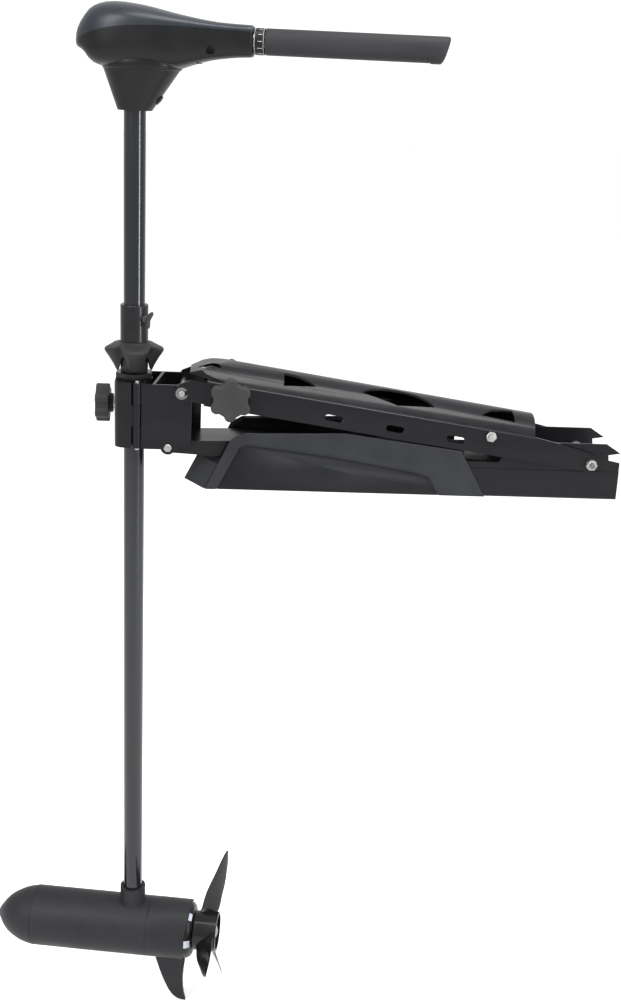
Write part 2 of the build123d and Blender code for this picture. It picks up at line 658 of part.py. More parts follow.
DOOR_BACK_U, DOOR_HALF_W, DOOR_CORNER = -1.0, 38.0, 14.0
with BuildPart() as bracket_door:
    with BuildSketch(shaft_level(BRACKET_Z0)):
        plan_box(DOOR_FRONT, DOOR_BACK_U, -DOOR_HALF_W, DOOR_HALF_W)
        fillet(vertices().group_by(Axis.X)[0], DOOR_CORNER)
        Circle(BUSH_R + GAP, mode=Mode.SUBTRACT)
        with Locations(HINGE_PIN):
            Circle(HINGE_KNUCKLE_R + GAP, mode=Mode.SUBTRACT)
    extrude(amount=BRACKET_HEIGHT)
    with BuildSketch(shaft_level(BRACKET_Z0 + KNUCKLE + GAP)):
        plan_box(DOOR_BACK_U - 2, HINGE_PIN[0], HINGE_PIN[1] - 3, HINGE_PIN[1] + 3)
        with Locations(HINGE_PIN):
            Circle(HINGE_KNUCKLE_R)
            Circle(HINGE_PIN_R + RUN, mode=Mode.SUBTRACT)
    extrude(amount=KNUCKLE - 2 * GAP)
    with BuildSketch(Plane(origin=(SHAFT_X + DOOR_FRONT - 1, DOOR_KNOB_Y, DOOR_KNOB_Z),
                           x_dir=(0, 1, 0), z_dir=(1, 0, 0))):
        Circle(PIVOT_R + RUN)
    extrude(amount=DOOR_BACK_U - DOOR_FRONT + 2, mode=Mode.SUBTRACT)
write(bracket_door.part, "bracket_door")

DOOR_KNOB_BACK = DOOR_FRONT - 6.5


def door_knob_plane(u):
    """Plane square to the door's front at u: its normal points forward."""
    return Plane(origin=(SHAFT_X + u, DOOR_KNOB_Y, DOOR_KNOB_Z), x_dir=(0, 1, 0), z_dir=(-1, 0, 0))


door_knob = star_knob(door_knob_plane(DOOR_KNOB_BACK), 1, 5, DOOR_KNOB_LEN, LOBE_R, DOOR_KNOB_R,
                      LOBES, 90, PIVOT_R)
write(door_knob, "door_knob")

with BuildPart() as door_knob_bolt:
    with BuildSketch(door_knob_plane(DOOR_BACK_U)):
        Circle(PIVOT_R)
    extrude(amount=DOOR_BACK_U - DOOR_KNOB_BACK + DOOR_KNOB_LEN - 10)
    with BuildSketch(door_knob_plane(DOOR_FRONT - 0.8)):
        Circle(11)
    extrude(amount=1.6)
    with BuildSketch(door_knob_plane(DOOR_FRONT - 2.4)):
        RegularPolygon(8.5, 6)
    extrude(amount=DOOR_FRONT - 2.4 - DOOR_KNOB_BACK)
write(door_knob_bolt.part, "door_knob_bolt")

# ---------------------------------------------------------------- hand nut, depth collar, screw
PETAL_HALF_W = 16.5
with BuildPart() as steering_nut:
    with BuildSketch(shaft_level(NUT_BOTTOM)):
        Circle(18.7)
    extrude(amount=30)
    for k in range(4):
        radial = Vector(1, 0, 0).rotate(Axis.Z, NUT_TURN - 90 + 90 * k)
        middle = Plane(origin=(SHAFT_X, 0, 0), x_dir=radial, z_dir=radial.cross(Vector(0, 0, 1)))
        with BuildSketch(middle):
            with BuildLine():
                Polyline(
                    (0, NUT_TOP), (19, NUT_TOP), (36, 190), (NUT_TIP_R, 187), (NUT_TIP_R, 182),
                    (25, 154), (21, 156), (17, 170), (0, 170), close=True,
                )
            make_face()
        extrude(amount=PETAL_HALF_W, both=True)
    with BuildSketch(shaft_level(NUT_BOTTOM)):
        Circle(NECK_R + RUN)
    extrude(amount=NECK_TOP + 1 - NUT_BOTTOM, mode=Mode.SUBTRACT)
    with BuildSketch(shaft_level(NUT_BOTTOM)):
        Circle(SHAFT_R + GAP)
    extrude(amount=NUT_TOP - NUT_BOTTOM, mode=Mode.SUBTRACT)
write(steering_nut.part, "steering_nut")

WING_Z, WING_HEADING = 225.0, -40.0
WING_DIR = Vector(1, 0, 0).rotate(Axis.Z, WING_HEADING)
WING_ACROSS = Vector(0, 1, 0).rotate(Axis.Z, WING_HEADING)
SCREW_R = 3.0


def wing_plane(r):
    """Plane square to the wing screw at distance r from the shaft's axis: local y is up."""
    return Plane(origin=Vector(SHAFT_X, 0, WING_Z) + WING_DIR * r, x_dir=WING_ACROSS, z_dir=WING_DIR)


with BuildPart() as depth_collar:
    with BuildSketch(shaft_level(COLLAR_BOTTOM)):
        Circle(COLLAR_R)
    extrude(amount=COLLAR_TOP - COLLAR_BOTTOM)
    fillet(depth_collar.edges().group_by(Axis.Z)[-1], 1.5)
    with BuildSketch(wing_plane(SHAFT_R + 1)):
        Circle(7)
    extrude(amount=COLLAR_R + 1 - SHAFT_R - 1)
    with BuildSketch(wing_plane(SHAFT_R)):
        Circle(SCREW_R + RUN)
    extrude(amount=12, mode=Mode.SUBTRACT)
    with BuildSketch(shaft_level(COLLAR_BOTTOM)):
        Circle(SHAFT_R + RUN)
    extrude(amount=COLLAR_TOP - COLLAR_BOTTOM, mode=Mode.SUBTRACT)
write(depth_collar.part, "depth_collar")

with BuildPart() as wing_screw:
    with BuildSketch(wing_plane(SHAFT_R + GAP)):
        Circle(SCREW_R)
    extrude(amount=9)
    with BuildSketch(wing_plane(COLLAR_R + 1.5)):
        Circle(6)
    extrude(amount=6)
    with BuildSketch(wing_plane(COLLAR_R + 3)):
        with BuildLine():
            Polyline((-2, -12.5), (2, -12.5), (2, 12.5), (-2, 12.5), close=True)
        make_face()
    extrude(amount=9.7)
    fillet(wing_screw.edges().filter_by(Axis(Vector(0, 0, 0), WING_ACROSS)).group_by(
        Axis(Vector(0, 0, 0), WING_DIR))[-1], 4)
write(wing_screw.part, "wing_screw")

# ---------------------------------------------------------------- shaft and head
shaft_tube = tube(shaft_level(SHAFT_BOTTOM), SHAFT_TOP - SHAFT_BOTTOM, SHAFT_R,
                  SHAFT_R - SHAFT_WALL)
write(shaft_tube, "shaft_tube")

CONE_MID, CONE_HALF_L, CONE_HALF_W = 9.0, 50.0, 40.0
with BuildPart() as head_cone:
    for inset, mode in ((0.0, Mode.ADD), (3.0, Mode.SUBTRACT)):
        with BuildSketch(motor_level(CONE_BOTTOM + 3 * inset)):
            Circle(22 - inset)
        with BuildSketch(motor_level(CONE_TOP)):
            with Locations((CONE_MID, 0)):
                Ellipse(CONE_HALF_L - inset, CONE_HALF_W - inset)
        loft(mode=mode)
    with BuildSketch(motor_level(CONE_BOTTOM)):
        Circle(SHAFT_R)
    extrude(amount=20, mode=Mode.SUBTRACT)
GLAND_DIR = (MOTOR_X - Vector(0, 0, 0.8)).normalized()
GLAND_PLANE = Plane(origin=Vector(SHAFT_X, 0, 509) + MOTOR_X * 27, x_dir=MOTOR_Y, z_dir=GLAND_DIR)
GLAND_R, GLAND_BORE = 7.0, 3.6
with BuildPart(mode=Mode.PRIVATE) as gland_hole:
    with BuildSketch(GLAND_PLANE.offset(-14)):
        Circle(GLAND_R - 1.5)
    extrude(amount=30)
head_cone = head_cone.part - gland_hole.part
write(head_cone, "head_cone")

with BuildPart() as cable_gland:
    with BuildSketch(GLAND_PLANE.offset(-8)):
        Circle(GLAND_R - 1.5)
    extrude(amount=12)
    with BuildSketch(GLAND_PLANE.offset(3.5)):
        Circle(GLAND_R)
    extrude(amount=4, taper=8)
    with BuildSketch(GLAND_PLANE.offset(-8)):
        Circle(GLAND_BORE)
    extrude(amount=20, mode=Mode.SUBTRACT)
cable_gland = cable_gland.part - head_cone
write(cable_gland, "cable_gland")

HEAD_PLAN = [(-75.4, 0), (-66, 28), (-40, 46), (0, 52), (40, 45), (80, 31), (120, 21.5), (HEAD_END, 19)]
COVER_LINE = [(-75.4, 572.5), (-66, 595), (-52, 616), (-28, 621.3), (10, 618.6), (60, 608.6),
              (105, 602), (HEAD_END, 600)]
SEAM_LINE = [(-75.4, 572.5), (-49, 582.5), (-20, 589.5), (20, 593.3), (70, 594), (HEAD_END, 593)]
FLOOR_LINE = [(-75.4, 572.5), (-73, 566.5), (-62, 560.5), (-53, 549.5), (-41, CONE_TOP),
              (59, CONE_TOP), (64, 546), (95, 555.5), (124, 560.1), (HEAD_END, 562)]


def drawn_in(points, inset, drop):
    """A line of the head moved inwards: its ends along the head, the rest sideways by drop."""
    inner = [(x, y + drop) for x, y in points]
    inner[0] = (points[0][0] + inset, points[0][1])
    inner[-1] = (points[-1][0] - inset, points[-1][1] + drop)
    return inner


def head_form(upper, lower, inset=0.0):
    """The head between two lines of its side view, cut to its plan, with an optional inset."""
    plan = drawn_in(HEAD_PLAN, inset, -inset)
    upper_line = drawn_in(upper, inset, -inset)
    lower_line = drawn_in(lower, inset, inset)
    with BuildPart() as form:
        with BuildSketch(motor_level(535)):
            with BuildLine():
                Spline(*[(x, -y) for x, y in plan[::-1]], *plan[1:])
                Line((plan[-1][0], -plan[-1][1]), plan[-1])
            make_face()
        extrude(amount=95)
        with BuildSketch(motor_side()):
            with BuildLine():
                Spline(*upper_line)
                Line(upper_line[-1], lower_line[-1])
                if lower is FLOOR_LINE:
                    Polyline(*lower_line)
                else:
                    Spline(*lower_line)
            make_face()
        extrude(amount=70, both=True, mode=Mode.INTERSECT)
    return form.part


HEAD_BOSSES = [(-42, -28), (-42, 28), (88, -18), (88, 18)]
BOSS_R, BOSS_SCREW_R = 4.5, 2.0
with BuildPart() as boss_posts:
    with BuildSketch(motor_level(540)):
        with Locations(*HEAD_BOSSES):
            Circle(BOSS_R)
    extrude(amount=85)
with BuildPart() as head_screws:
    with BuildSketch(motor_level(566)):
        with Locations(*HEAD_BOSSES):
            Circle(BOSS_SCREW_R)
    extrude(amount=32)
    with BuildSketch(motor_level(563)):
        with Locations(*HEAD_BOSSES):
            Circle(3.4)
    extrude(amount=3)
with BuildPart() as screw_wells:
    with BuildSketch(motor_level(540)):
        with Locations(*HEAD_BOSSES):
            Circle(3.4)
    extrude(amount=26)
write(head_screws.part, "head_screws")

cavity = head_form(COVER_LINE, FLOOR_LINE, SHELL)
housing_form = head_form(SEAM_LINE, FLOOR_LINE)
cover_form = head_form(COVER_LINE, SEAM_LINE)
housing_bosses = housing_form & boss_posts.part
cover_bosses = cover_form & boss_posts.part
with BuildPart() as head_housing:
    add(housing_form)
    add(cavity, mode=Mode.SUBTRACT)
    add(housing_bosses)
    add(head_screws.part, mode=Mode.SUBTRACT)
    add(screw_wells.part, mode=Mode.SUBTRACT)
    with BuildSketch(motor_level(CONE_TOP)):
        with Locations((CONE_MID, 0)):
            Ellipse(CONE_HALF_L - 8, CONE_HALF_W - 8)
    extrude(amount=SHELL + 1, mode=Mode.SUBTRACT)
    with BuildSketch(motor_across(100, HANDLE_Z)):
        Circle(TWIST_R + RUN)
    extrude(amount=HEAD_END - 99, mode=Mode.SUBTRACT)
write(head_housing.part, "head_housing")

with BuildPart() as head_cover:
    add(cover_form)
    add(cavity, mode=Mode.SUBTRACT)
    add(cover_bosses)
    add(head_screws.part, mode=Mode.SUBTRACT)
write(head_cover.part, "head_cover")

with BuildPart() as speed_switch:
    with BuildSketch(motor_level(557.2)):
        with Locations((64, 0)):
            RectangleRounded(28, 30, 2)
    extrude(amount=34.5)
write(speed_switch.part, "speed_switch")

TUBE_START, TUBE_END, TUBE_WALL = 80.0, 380.0, 2.5
twist_tube = tube(motor_across(TUBE_START, HANDLE_Z), TUBE_END - TUBE_START, TWIST_R, TWIST_R - TUBE_WALL)
write(twist_tube, "twist_tube")

with BuildPart() as speed_dial:
    with BuildSketch(motor_across(DIAL_X0, HANDLE_Z)):
        Circle(DIAL_R)
        Circle(TWIST_R, mode=Mode.SUBTRACT)
    extrude(amount=DIAL_X1 - DIAL_X0)
    chamfer(speed_dial.edges().filter_by(GeomType.CIRCLE).filter_by(
        lambda edge: edge.radius > DIAL_R - 1), 0.8)
write(speed_dial.part, "speed_dial")

with BuildPart() as grip:
    with BuildSketch(motor_across(GRIP_X0, HANDLE_Z)):
        Circle(GRIP_R)
    extrude(amount=GRIP_X1 - GRIP_X0)
    fillet(grip.faces().sort_by(Axis(Vector(0, 0, 0), MOTOR_X))[-1].edges(), 7)
    with BuildSketch(motor_across(GRIP_X0, HANDLE_Z)):
        Circle(TWIST_R + RUN)
    extrude(amount=TUBE_END + 3 - GRIP_X0, mode=Mode.SUBTRACT)
write(grip.part, "grip")

# ---------------------------------------------------------------- lower unit
UNIT_AXIS = Axis(origin=Vector(SHAFT_X, 0, UNIT_Z), direction=MOTOR_X)
INNER_R = UNIT_R - UNIT_WALL


def unit_across(x):
    """Plane square to the lower unit's axis at x: local x is athwart, local y is up."""
    return motor_across(x, UNIT_Z)


# The nose's radius as a share of the unit's, by distance along it from the tip.
NOSE_FORM = [(0, 0), (0.06, 0.22), (0.17, 0.43), (0.38, 0.69), (0.65, 0.88), (1, 1)]
with BuildPart() as unit_nose:
    for shrink, mode in ((0.0, Mode.ADD), (UNIT_WALL, Mode.SUBTRACT)):
        tip, radius = NOSE_TIP + 2 * shrink, UNIT_R - shrink
        with BuildSketch(motor_side()):
            with BuildLine():
                Spline(*[(tip + (NOSE_SEAM - tip) * along, UNIT_Z + radius * share)
                         for along, share in NOSE_FORM], tangents=[(0, 1), (1, 0.2)])
                Polyline((tip, UNIT_Z), (NOSE_SEAM, UNIT_Z), (NOSE_SEAM, UNIT_Z + radius))
            make_face()
        revolve(axis=UNIT_AXIS, mode=mode)
write(unit_nose.part, "unit_nose")

COLLAR_FOOT_Z, COLLAR_FOOT_R, SOCKET_R, SOCKET_TOP = -706.0, 23.0, 19.4, -670.0
with BuildPart() as unit_body:
    with BuildSketch(unit_across(NOSE_SEAM)):
        Circle(UNIT_R)
    extrude(amount=REAR_SEAM - NOSE_SEAM)
    with BuildSketch(motor_side()):
        with BuildLine():
            Polyline((0, UNIT_Z), (0, SOCKET_TOP), (SOCKET_R, SOCKET_TOP), (SOCKET_R, -692))
            Spline((SOCKET_R, -692), (20.4, -700), (COLLAR_FOOT_R, COLLAR_FOOT_Z))
            Polyline((COLLAR_FOOT_R, COLLAR_FOOT_Z), (COLLAR_FOOT_R, UNIT_Z), (0, UNIT_Z))
        make_face()
    revolve(axis=Axis((SHAFT_X, 0, 0), (0, 0, 1)))
    with BuildSketch(unit_across(NOSE_SEAM)):
        Circle(INNER_R)
    extrude(amount=REAR_SEAM - NOSE_SEAM, mode=Mode.SUBTRACT)
    with BuildSketch(motor_level(SHAFT_BOTTOM)):
        Circle(SHAFT_R)
    extrude(amount=SOCKET_TOP - SHAFT_BOTTOM, mode=Mode.SUBTRACT)
    with BuildSketch(motor_level(UNIT_Z + INNER_R - 4)):
        Circle(8)
    extrude(amount=10, mode=Mode.SUBTRACT)
write(unit_body.part, "unit_body")

BELL_EDGE, BELL_END, BELL_NOSE_R = 87.0, 99.0, 36.0
BEARING_R, BEARING_LEN, FRONT_BEARING, REAR_BEARING = 11.0, 9.0, -130.0, 74.0
BOLT_RADIUS, BOLT_R = 39.5, 2.0
BOLT_START, BOLT_END = FRONT_BEARING, BELL_EDGE
with BuildPart() as through_bolts:
    for side in SIDES.values():
        add(rod(Plane(unit_across(BOLT_START).origin + MOTOR_Y * side * BOLT_RADIUS,
                      x_dir=MOTOR_Y, z_dir=MOTOR_X), BOLT_END - BOLT_START, BOLT_R))
write(through_bolts.part, "through_bolts")

SEAL_X0, SEAL_X1, SEAL_R = 86.0, 93.0, 10.0
with BuildPart() as unit_rear_bell:
    for shrink, mode in ((0.0, Mode.ADD), (UNIT_WALL, Mode.SUBTRACT)):
        with BuildSketch(motor_side()):
            with BuildLine():
                Line((REAR_SEAM, UNIT_Z), (REAR_SEAM, UNIT_Z + UNIT_R - shrink))
                Line((REAR_SEAM, UNIT_Z + UNIT_R - shrink), (BELL_EDGE, UNIT_Z + UNIT_R - shrink))
                Spline((BELL_EDGE, UNIT_Z + UNIT_R - shrink),
                       (BELL_END - 3 - shrink, UNIT_Z + UNIT_R - 4 - shrink),
                       (BELL_END - shrink, UNIT_Z + BELL_NOSE_R - shrink), tangents=[(1, 0), (0, -1)])
                Polyline((BELL_END - shrink, UNIT_Z + BELL_NOSE_R - shrink),
                         (BELL_END - shrink, UNIT_Z), (REAR_SEAM, UNIT_Z))
            make_face()
        revolve(axis=UNIT_AXIS, mode=mode)
    with BuildSketch(unit_across(REAR_BEARING - 3)):
        Circle(BEARING_R + 4)
    extrude(amount=BELL_END - REAR_BEARING + 3)
    with BuildSketch(unit_across(REAR_BEARING - 3)):
        Circle(BEARING_R)
    extrude(amount=BEARING_LEN + 3, mode=Mode.SUBTRACT)
    with BuildSketch(unit_across(SEAL_X0)):
        Circle(SEAL_R)
    extrude(amount=SEAL_X1 - SEAL_X0, mode=Mode.SUBTRACT)
    with BuildSketch(unit_across(REAR_BEARING - 3)):
        Circle(DRIVE_R + 0.6)
    extrude(amount=40, mode=Mode.SUBTRACT)
    add(through_bolts.part, mode=Mode.SUBTRACT)
write(unit_rear_bell.part, "unit_rear_bell")

SKEG_HALF_T = 3.0
with BuildPart() as skeg:
    with BuildSketch(motor_side()):
        with BuildLine():
            Line((31, -780), (38, -802))
            Spline((38, -802), (43.5, -820), (54.3, -849), (65.2, -867.5), (76, -875))
            Line((76, -875), (86.6, -876.4))
            Spline((86.6, -876.4), (81.5, -845), (82.3, -822), (84.5, -803))
            Polyline((84.5, -803), (84.5, -780), (31, -780))
        make_face()
    extrude(amount=SKEG_HALF_T, both=True)
    with BuildSketch(unit_across(0)):
        Circle(UNIT_R)
    extrude(amount=150, mode=Mode.SUBTRACT)
write(skeg.part, "skeg")

with BuildPart() as front_end_plate:
    with BuildSketch(unit_across(FRONT_BEARING)):
        Circle(INNER_R)
        Circle(BEARING_R, mode=Mode.SUBTRACT)
    extrude(amount=BEARING_LEN)
    add(through_bolts.part, mode=Mode.SUBTRACT)
write(front_end_plate.part, "front_end_plate")

with BuildPart() as bearings:
    for start in (FRONT_BEARING, REAR_BEARING):
        with BuildSketch(unit_across(start)):
            Circle(BEARING_R)
            Circle(DRIVE_R + RUN, mode=Mode.SUBTRACT)
        extrude(amount=BEARING_LEN)
write(bearings.part, "bearings")

shaft_seal = tube(unit_across(SEAL_X0), SEAL_X1 - SEAL_X0, SEAL_R, DRIVE_R + RUN)
write(shaft_seal, "shaft_seal")

MAGNET_IN = 38.0
with BuildPart() as magnets:
    with BuildSketch(unit_across(-95)):
        Circle(INNER_R)
        Circle(MAGNET_IN, mode=Mode.SUBTRACT)
        Rectangle(2 * INNER_R + 2, 30, mode=Mode.SUBTRACT)
    extrude(amount=90)
write(magnets.part, "magnets")

BRUSH_X, BRUSH_THICK = 12.0, 4.0
with BuildPart() as brush_plate:
    with BuildSketch(unit_across(BRUSH_X)):
        Circle(INNER_R)
        Circle(20, mode=Mode.SUBTRACT)
    extrude(amount=BRUSH_THICK)
    add(through_bolts.part, mode=Mode.SUBTRACT)
write(brush_plate.part, "brush_plate")

COMMUTATOR_R = 12.0
with BuildPart() as brushes:
    for side in SIDES.values():
        with BuildSketch(unit_across(BRUSH_X - 8)):
            with Locations((0, side * (COMMUTATOR_R + 0.3 + 7))):
                Rectangle(8, 14)
        extrude(amount=8)
write(brushes.part, "brushes")

with BuildPart() as armature:
    with BuildSketch(unit_across(-90)):
        Circle(35)
        Circle(DRIVE_R, mode=Mode.SUBTRACT)
        with PolarLocations(34, 12):
            Rectangle(8, 3, mode=Mode.SUBTRACT)
    extrude(amount=80)
write(armature.part, "armature")
write(tube(unit_across(-10), 20, COMMUTATOR_R, DRIVE_R), "commutator")

# ---------------------------------------------------------------- propeller and its shaft
SHAFT_REAR = 135.0
PIN_X, PIN_R, PIN_HALF = 107.0, 2.0, 14.0
HUB_WALL, HUB_CORE_R, HUB_FLOOR, CORE_END = 3.0, 12.0, 112.0, 127.0
drive_pin = rod(Plane(Vector(SHAFT_X, 0, UNIT_Z) + MOTOR_X * PIN_X - MOTOR_Y * PIN_HALF,
                      x_dir=MOTOR_X, z_dir=MOTOR_Y), 2 * PIN_HALF, PIN_R)
write(drive_pin, "drive_pin")
with BuildPart() as prop_shaft:
    add(rod(unit_across(FRONT_BEARING - 2), SHAFT_REAR - FRONT_BEARING + 2, DRIVE_R))
    add(drive_pin, mode=Mode.SUBTRACT)
write(prop_shaft.part, "prop_shaft")

# Blade sections by radius: chord, thickness, turn from the axis, middle along the axis.
BLADE_SECTIONS = [(27, 36, 5, 46, 118.3), (50, 38, 4.4, 52, 123), (75, 35, 3.6, 58, 128.5),
                  (100, 25, 2.8, 63, 133.5), (116, 14, 2.2, 66, 136), (124.5, 4, 1.4, 68, 137.5)]
with BuildPart() as propeller:
    with BuildSketch(unit_across(HUB_X0)):
        Circle(HUB_R)
    extrude(amount=HUB_X1 - HUB_X0)
    with BuildSketch(unit_across(HUB_FLOOR)):
        Circle(HUB_R - HUB_WALL)
        Circle(HUB_CORE_R, mode=Mode.SUBTRACT)
    extrude(amount=HUB_X1 - HUB_FLOOR, mode=Mode.SUBTRACT)
    with BuildSketch(unit_across(CORE_END)):
        Circle(HUB_R - HUB_WALL)
    extrude(amount=HUB_X1 - CORE_END, mode=Mode.SUBTRACT)
    for k in range(BLADE_COUNT):
        up = Vector(0, 0, 1).rotate(Axis(Vector(0, 0, 0), MOTOR_X), -BLADE_START + 360 / BLADE_COUNT * k)
        for radius, chord, thickness, turn, middle in BLADE_SECTIONS:
            centre = Vector(SHAFT_X, 0, UNIT_Z) + MOTOR_X * middle + up * radius
            with BuildSketch(Plane(centre, x_dir=MOTOR_X, z_dir=up)):
                Ellipse(chord / 2, thickness / 2, rotation=turn)
        loft()
    with BuildSketch(unit_across(HUB_X0)):
        Circle(DRIVE_R)
    extrude(amount=HUB_X1 - HUB_X0, mode=Mode.SUBTRACT)
    add(drive_pin, mode=Mode.SUBTRACT)
write(propeller.part, "propeller")

prop_nut = hex_nut(unit_across(CORE_END), 7, 16, DRIVE_R)
write(prop_nut, "prop_nut")
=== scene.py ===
"""Looks of the hand-steered bow-mount trolling motor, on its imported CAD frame. Metres."""
import json
from math import cos, pi, radians, sin, sqrt

import bmesh
import bpy
from mathutils import Matrix, Vector


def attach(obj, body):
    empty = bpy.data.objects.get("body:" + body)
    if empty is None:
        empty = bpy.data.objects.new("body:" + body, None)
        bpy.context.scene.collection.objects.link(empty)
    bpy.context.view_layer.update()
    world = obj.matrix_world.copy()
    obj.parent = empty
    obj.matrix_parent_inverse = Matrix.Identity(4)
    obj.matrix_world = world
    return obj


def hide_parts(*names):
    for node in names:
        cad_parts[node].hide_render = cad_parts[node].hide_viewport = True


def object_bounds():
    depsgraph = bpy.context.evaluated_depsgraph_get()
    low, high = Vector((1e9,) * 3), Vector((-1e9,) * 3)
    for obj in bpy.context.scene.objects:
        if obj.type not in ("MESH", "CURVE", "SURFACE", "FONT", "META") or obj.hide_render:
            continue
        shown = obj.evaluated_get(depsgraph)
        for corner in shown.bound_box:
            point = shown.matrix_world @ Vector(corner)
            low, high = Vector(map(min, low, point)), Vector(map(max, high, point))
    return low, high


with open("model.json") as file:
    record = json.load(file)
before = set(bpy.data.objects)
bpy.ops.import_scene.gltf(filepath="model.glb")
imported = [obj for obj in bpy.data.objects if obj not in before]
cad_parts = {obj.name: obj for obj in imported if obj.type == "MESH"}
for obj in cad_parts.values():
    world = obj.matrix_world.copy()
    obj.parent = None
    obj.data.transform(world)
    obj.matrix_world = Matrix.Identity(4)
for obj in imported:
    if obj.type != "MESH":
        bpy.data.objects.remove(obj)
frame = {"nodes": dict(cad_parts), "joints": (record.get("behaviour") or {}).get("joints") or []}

CAD_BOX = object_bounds()
NODES = frame["nodes"]
JOINTS = {joint["name"]: joint for joint in frame["joints"]}
MM = 0.001


# ---------------------------------------------------------------- places from the frame
def place_from(joint_name):
    """The joint's own directions: x along its axis, z up, at its position."""
    x_axis = Vector(JOINTS[joint_name]["axis"]).normalized()
    y_axis = Vector((0, 0, 1)).cross(x_axis).normalized()
    rotation = Matrix((x_axis, y_axis, x_axis.cross(y_axis))).transposed().to_4x4()
    return Matrix.Translation(Vector(JOINTS[joint_name]["pos_m"])) @ rotation


HANDLE = place_from("throttle_twist")
UNIT = place_from("prop_spin")
SHAFT_TOP = Vector((HANDLE.translation.x, HANDLE.translation.y, 0))
HANDLE_Z = HANDLE.translation.z


# ---------------------------------------------------------------- materials
COAT_ROUGHNESS = 0.12
# The part of a noise's range that a colour or gloss change is spread over.
NOISE_LOW, NOISE_HIGH = 0.3, 0.7
SPECK_FINENESS, SPECK_LOW, SPECK_HIGH = 28, 0.68, 0.8
SPECK_GREY = (0.3, 0.3, 0.31, 1)
BUMP_STRENGTH = 0.6
# Sockets of the colour mix node.
MIX_FACTOR, MIX_FIRST, MIX_SECOND, MIX_RESULT = 0, 6, 7, 2


def add_node(tree, kind, **inputs):
    """A shader node with some of its sockets set by name."""
    node = tree.nodes.new(kind)
    for name, value in inputs.items():
        node.inputs[name.replace("_", " ")].default_value = value
    return node


def surface(name, colour, roughness, *, metallic=0.0, coat=0.0, specular=0.22, variation=0.18,
            mottle=22.0, grain=1800.0, grain_depth=0.00004, stretch=(1, 1, 1),
            rough_spread=0.08, dust=0.0):
    """A moulded, painted or machined finish: mottled colour, uneven gloss and fine grain."""
    material = bpy.data.materials.new(name)
    material.use_nodes = True
    tree = material.node_tree
    shader = tree.nodes["Principled BSDF"]
    shader.inputs["Metallic"].default_value = metallic
    shader.inputs["Coat Weight"].default_value = coat
    shader.inputs["Coat Roughness"].default_value = COAT_ROUGHNESS
    shader.inputs["Specular IOR Level"].default_value = specular
    coords = tree.nodes.new("ShaderNodeTexCoord")
    mapping = tree.nodes.new("ShaderNodeMapping")
    mapping.inputs["Scale"].default_value = stretch
    tree.links.new(coords.outputs["Object"], mapping.inputs["Vector"])

    cloud = add_node(tree, "ShaderNodeTexNoise", Scale=mottle, Detail=6.0, Roughness=0.6)
    tree.links.new(mapping.outputs["Vector"], cloud.inputs["Vector"])
    ramp = tree.nodes.new("ShaderNodeValToRGB")
    ramp.color_ramp.elements[0].position = NOISE_LOW
    ramp.color_ramp.elements[1].position = NOISE_HIGH
    ramp.color_ramp.elements[0].color = (*[c * (1 - variation) for c in colour], 1)
    ramp.color_ramp.elements[1].color = (*[c * (1 + variation) for c in colour], 1)
    tree.links.new(cloud.outputs["Fac"], ramp.inputs["Fac"])
    colour_out = ramp.outputs["Color"]

    if dust:
        specks = add_node(tree, "ShaderNodeTexNoise", Scale=mottle * SPECK_FINENESS, Detail=2.0)
        tree.links.new(coords.outputs["Object"], specks.inputs["Vector"])
        speck_mask = add_node(tree, "ShaderNodeMapRange", From_Min=SPECK_LOW,
                              From_Max=SPECK_HIGH, To_Max=dust)
        tree.links.new(specks.outputs["Fac"], speck_mask.inputs["Value"])
        mix = tree.nodes.new("ShaderNodeMix")
        mix.data_type = "RGBA"
        mix.inputs[MIX_SECOND].default_value = SPECK_GREY
        tree.links.new(speck_mask.outputs["Result"], mix.inputs[MIX_FACTOR])
        tree.links.new(colour_out, mix.inputs[MIX_FIRST])
        colour_out = mix.outputs[MIX_RESULT]
    tree.links.new(colour_out, shader.inputs["Base Color"])

    gloss = add_node(tree, "ShaderNodeMapRange", From_Min=NOISE_LOW, From_Max=NOISE_HIGH,
                     To_Min=roughness - rough_spread, To_Max=roughness + rough_spread)
    tree.links.new(cloud.outputs["Fac"], gloss.inputs["Value"])
    tree.links.new(gloss.outputs["Result"], shader.inputs["Roughness"])

    fine = add_node(tree, "ShaderNodeTexNoise", Scale=grain, Detail=3.0, Roughness=0.55)
    tree.links.new(mapping.outputs["Vector"], fine.inputs["Vector"])
    bump = add_node(tree, "ShaderNodeBump", Strength=BUMP_STRENGTH, Distance=grain_depth)
    tree.links.new(fine.outputs["Fac"], bump.inputs["Height"])
    tree.links.new(bump.outputs["Normal"], shader.inputs["Normal"])
    return material


ANODISED = surface("black_anodised", (0.0042, 0.0044, 0.0052), 0.3, coat=0.13, specular=0.09,
                   grain=2600, grain_depth=0.00002, stretch=(0.12, 1, 1), dust=0.03)
HOOD_PAINT = surface("black_hood", (0.0042, 0.0044, 0.0052), 0.33, coat=0.13, specular=0.09,
                     grain=1500, grain_depth=0.00005)
COVER_PLASTIC = surface("charcoal_plastic", (0.013, 0.0135, 0.0158), 0.5, specular=0.12,
                        grain=1300, grain_depth=0.00009)
PANEL_PLASTIC = surface("panel_plastic", (0.0075, 0.0078, 0.009), 0.5, specular=0.1, grain=1300,
                        grain_depth=0.00009)
KNOB_PLASTIC = surface("knob_plastic", (0.019, 0.019, 0.02), 0.55, specular=0.14, grain=1500,
                       grain_depth=0.00008)
COLLAR_PLASTIC = surface("collar_plastic", (0.0065, 0.0066, 0.0075), 0.3, coat=0.1,
                         specular=0.14, grain=1800)
NUT_PLASTIC = surface("nut_plastic", (0.0105, 0.0105, 0.0112), 0.48, specular=0.14, grain=1500,
                      grain_depth=0.00008)
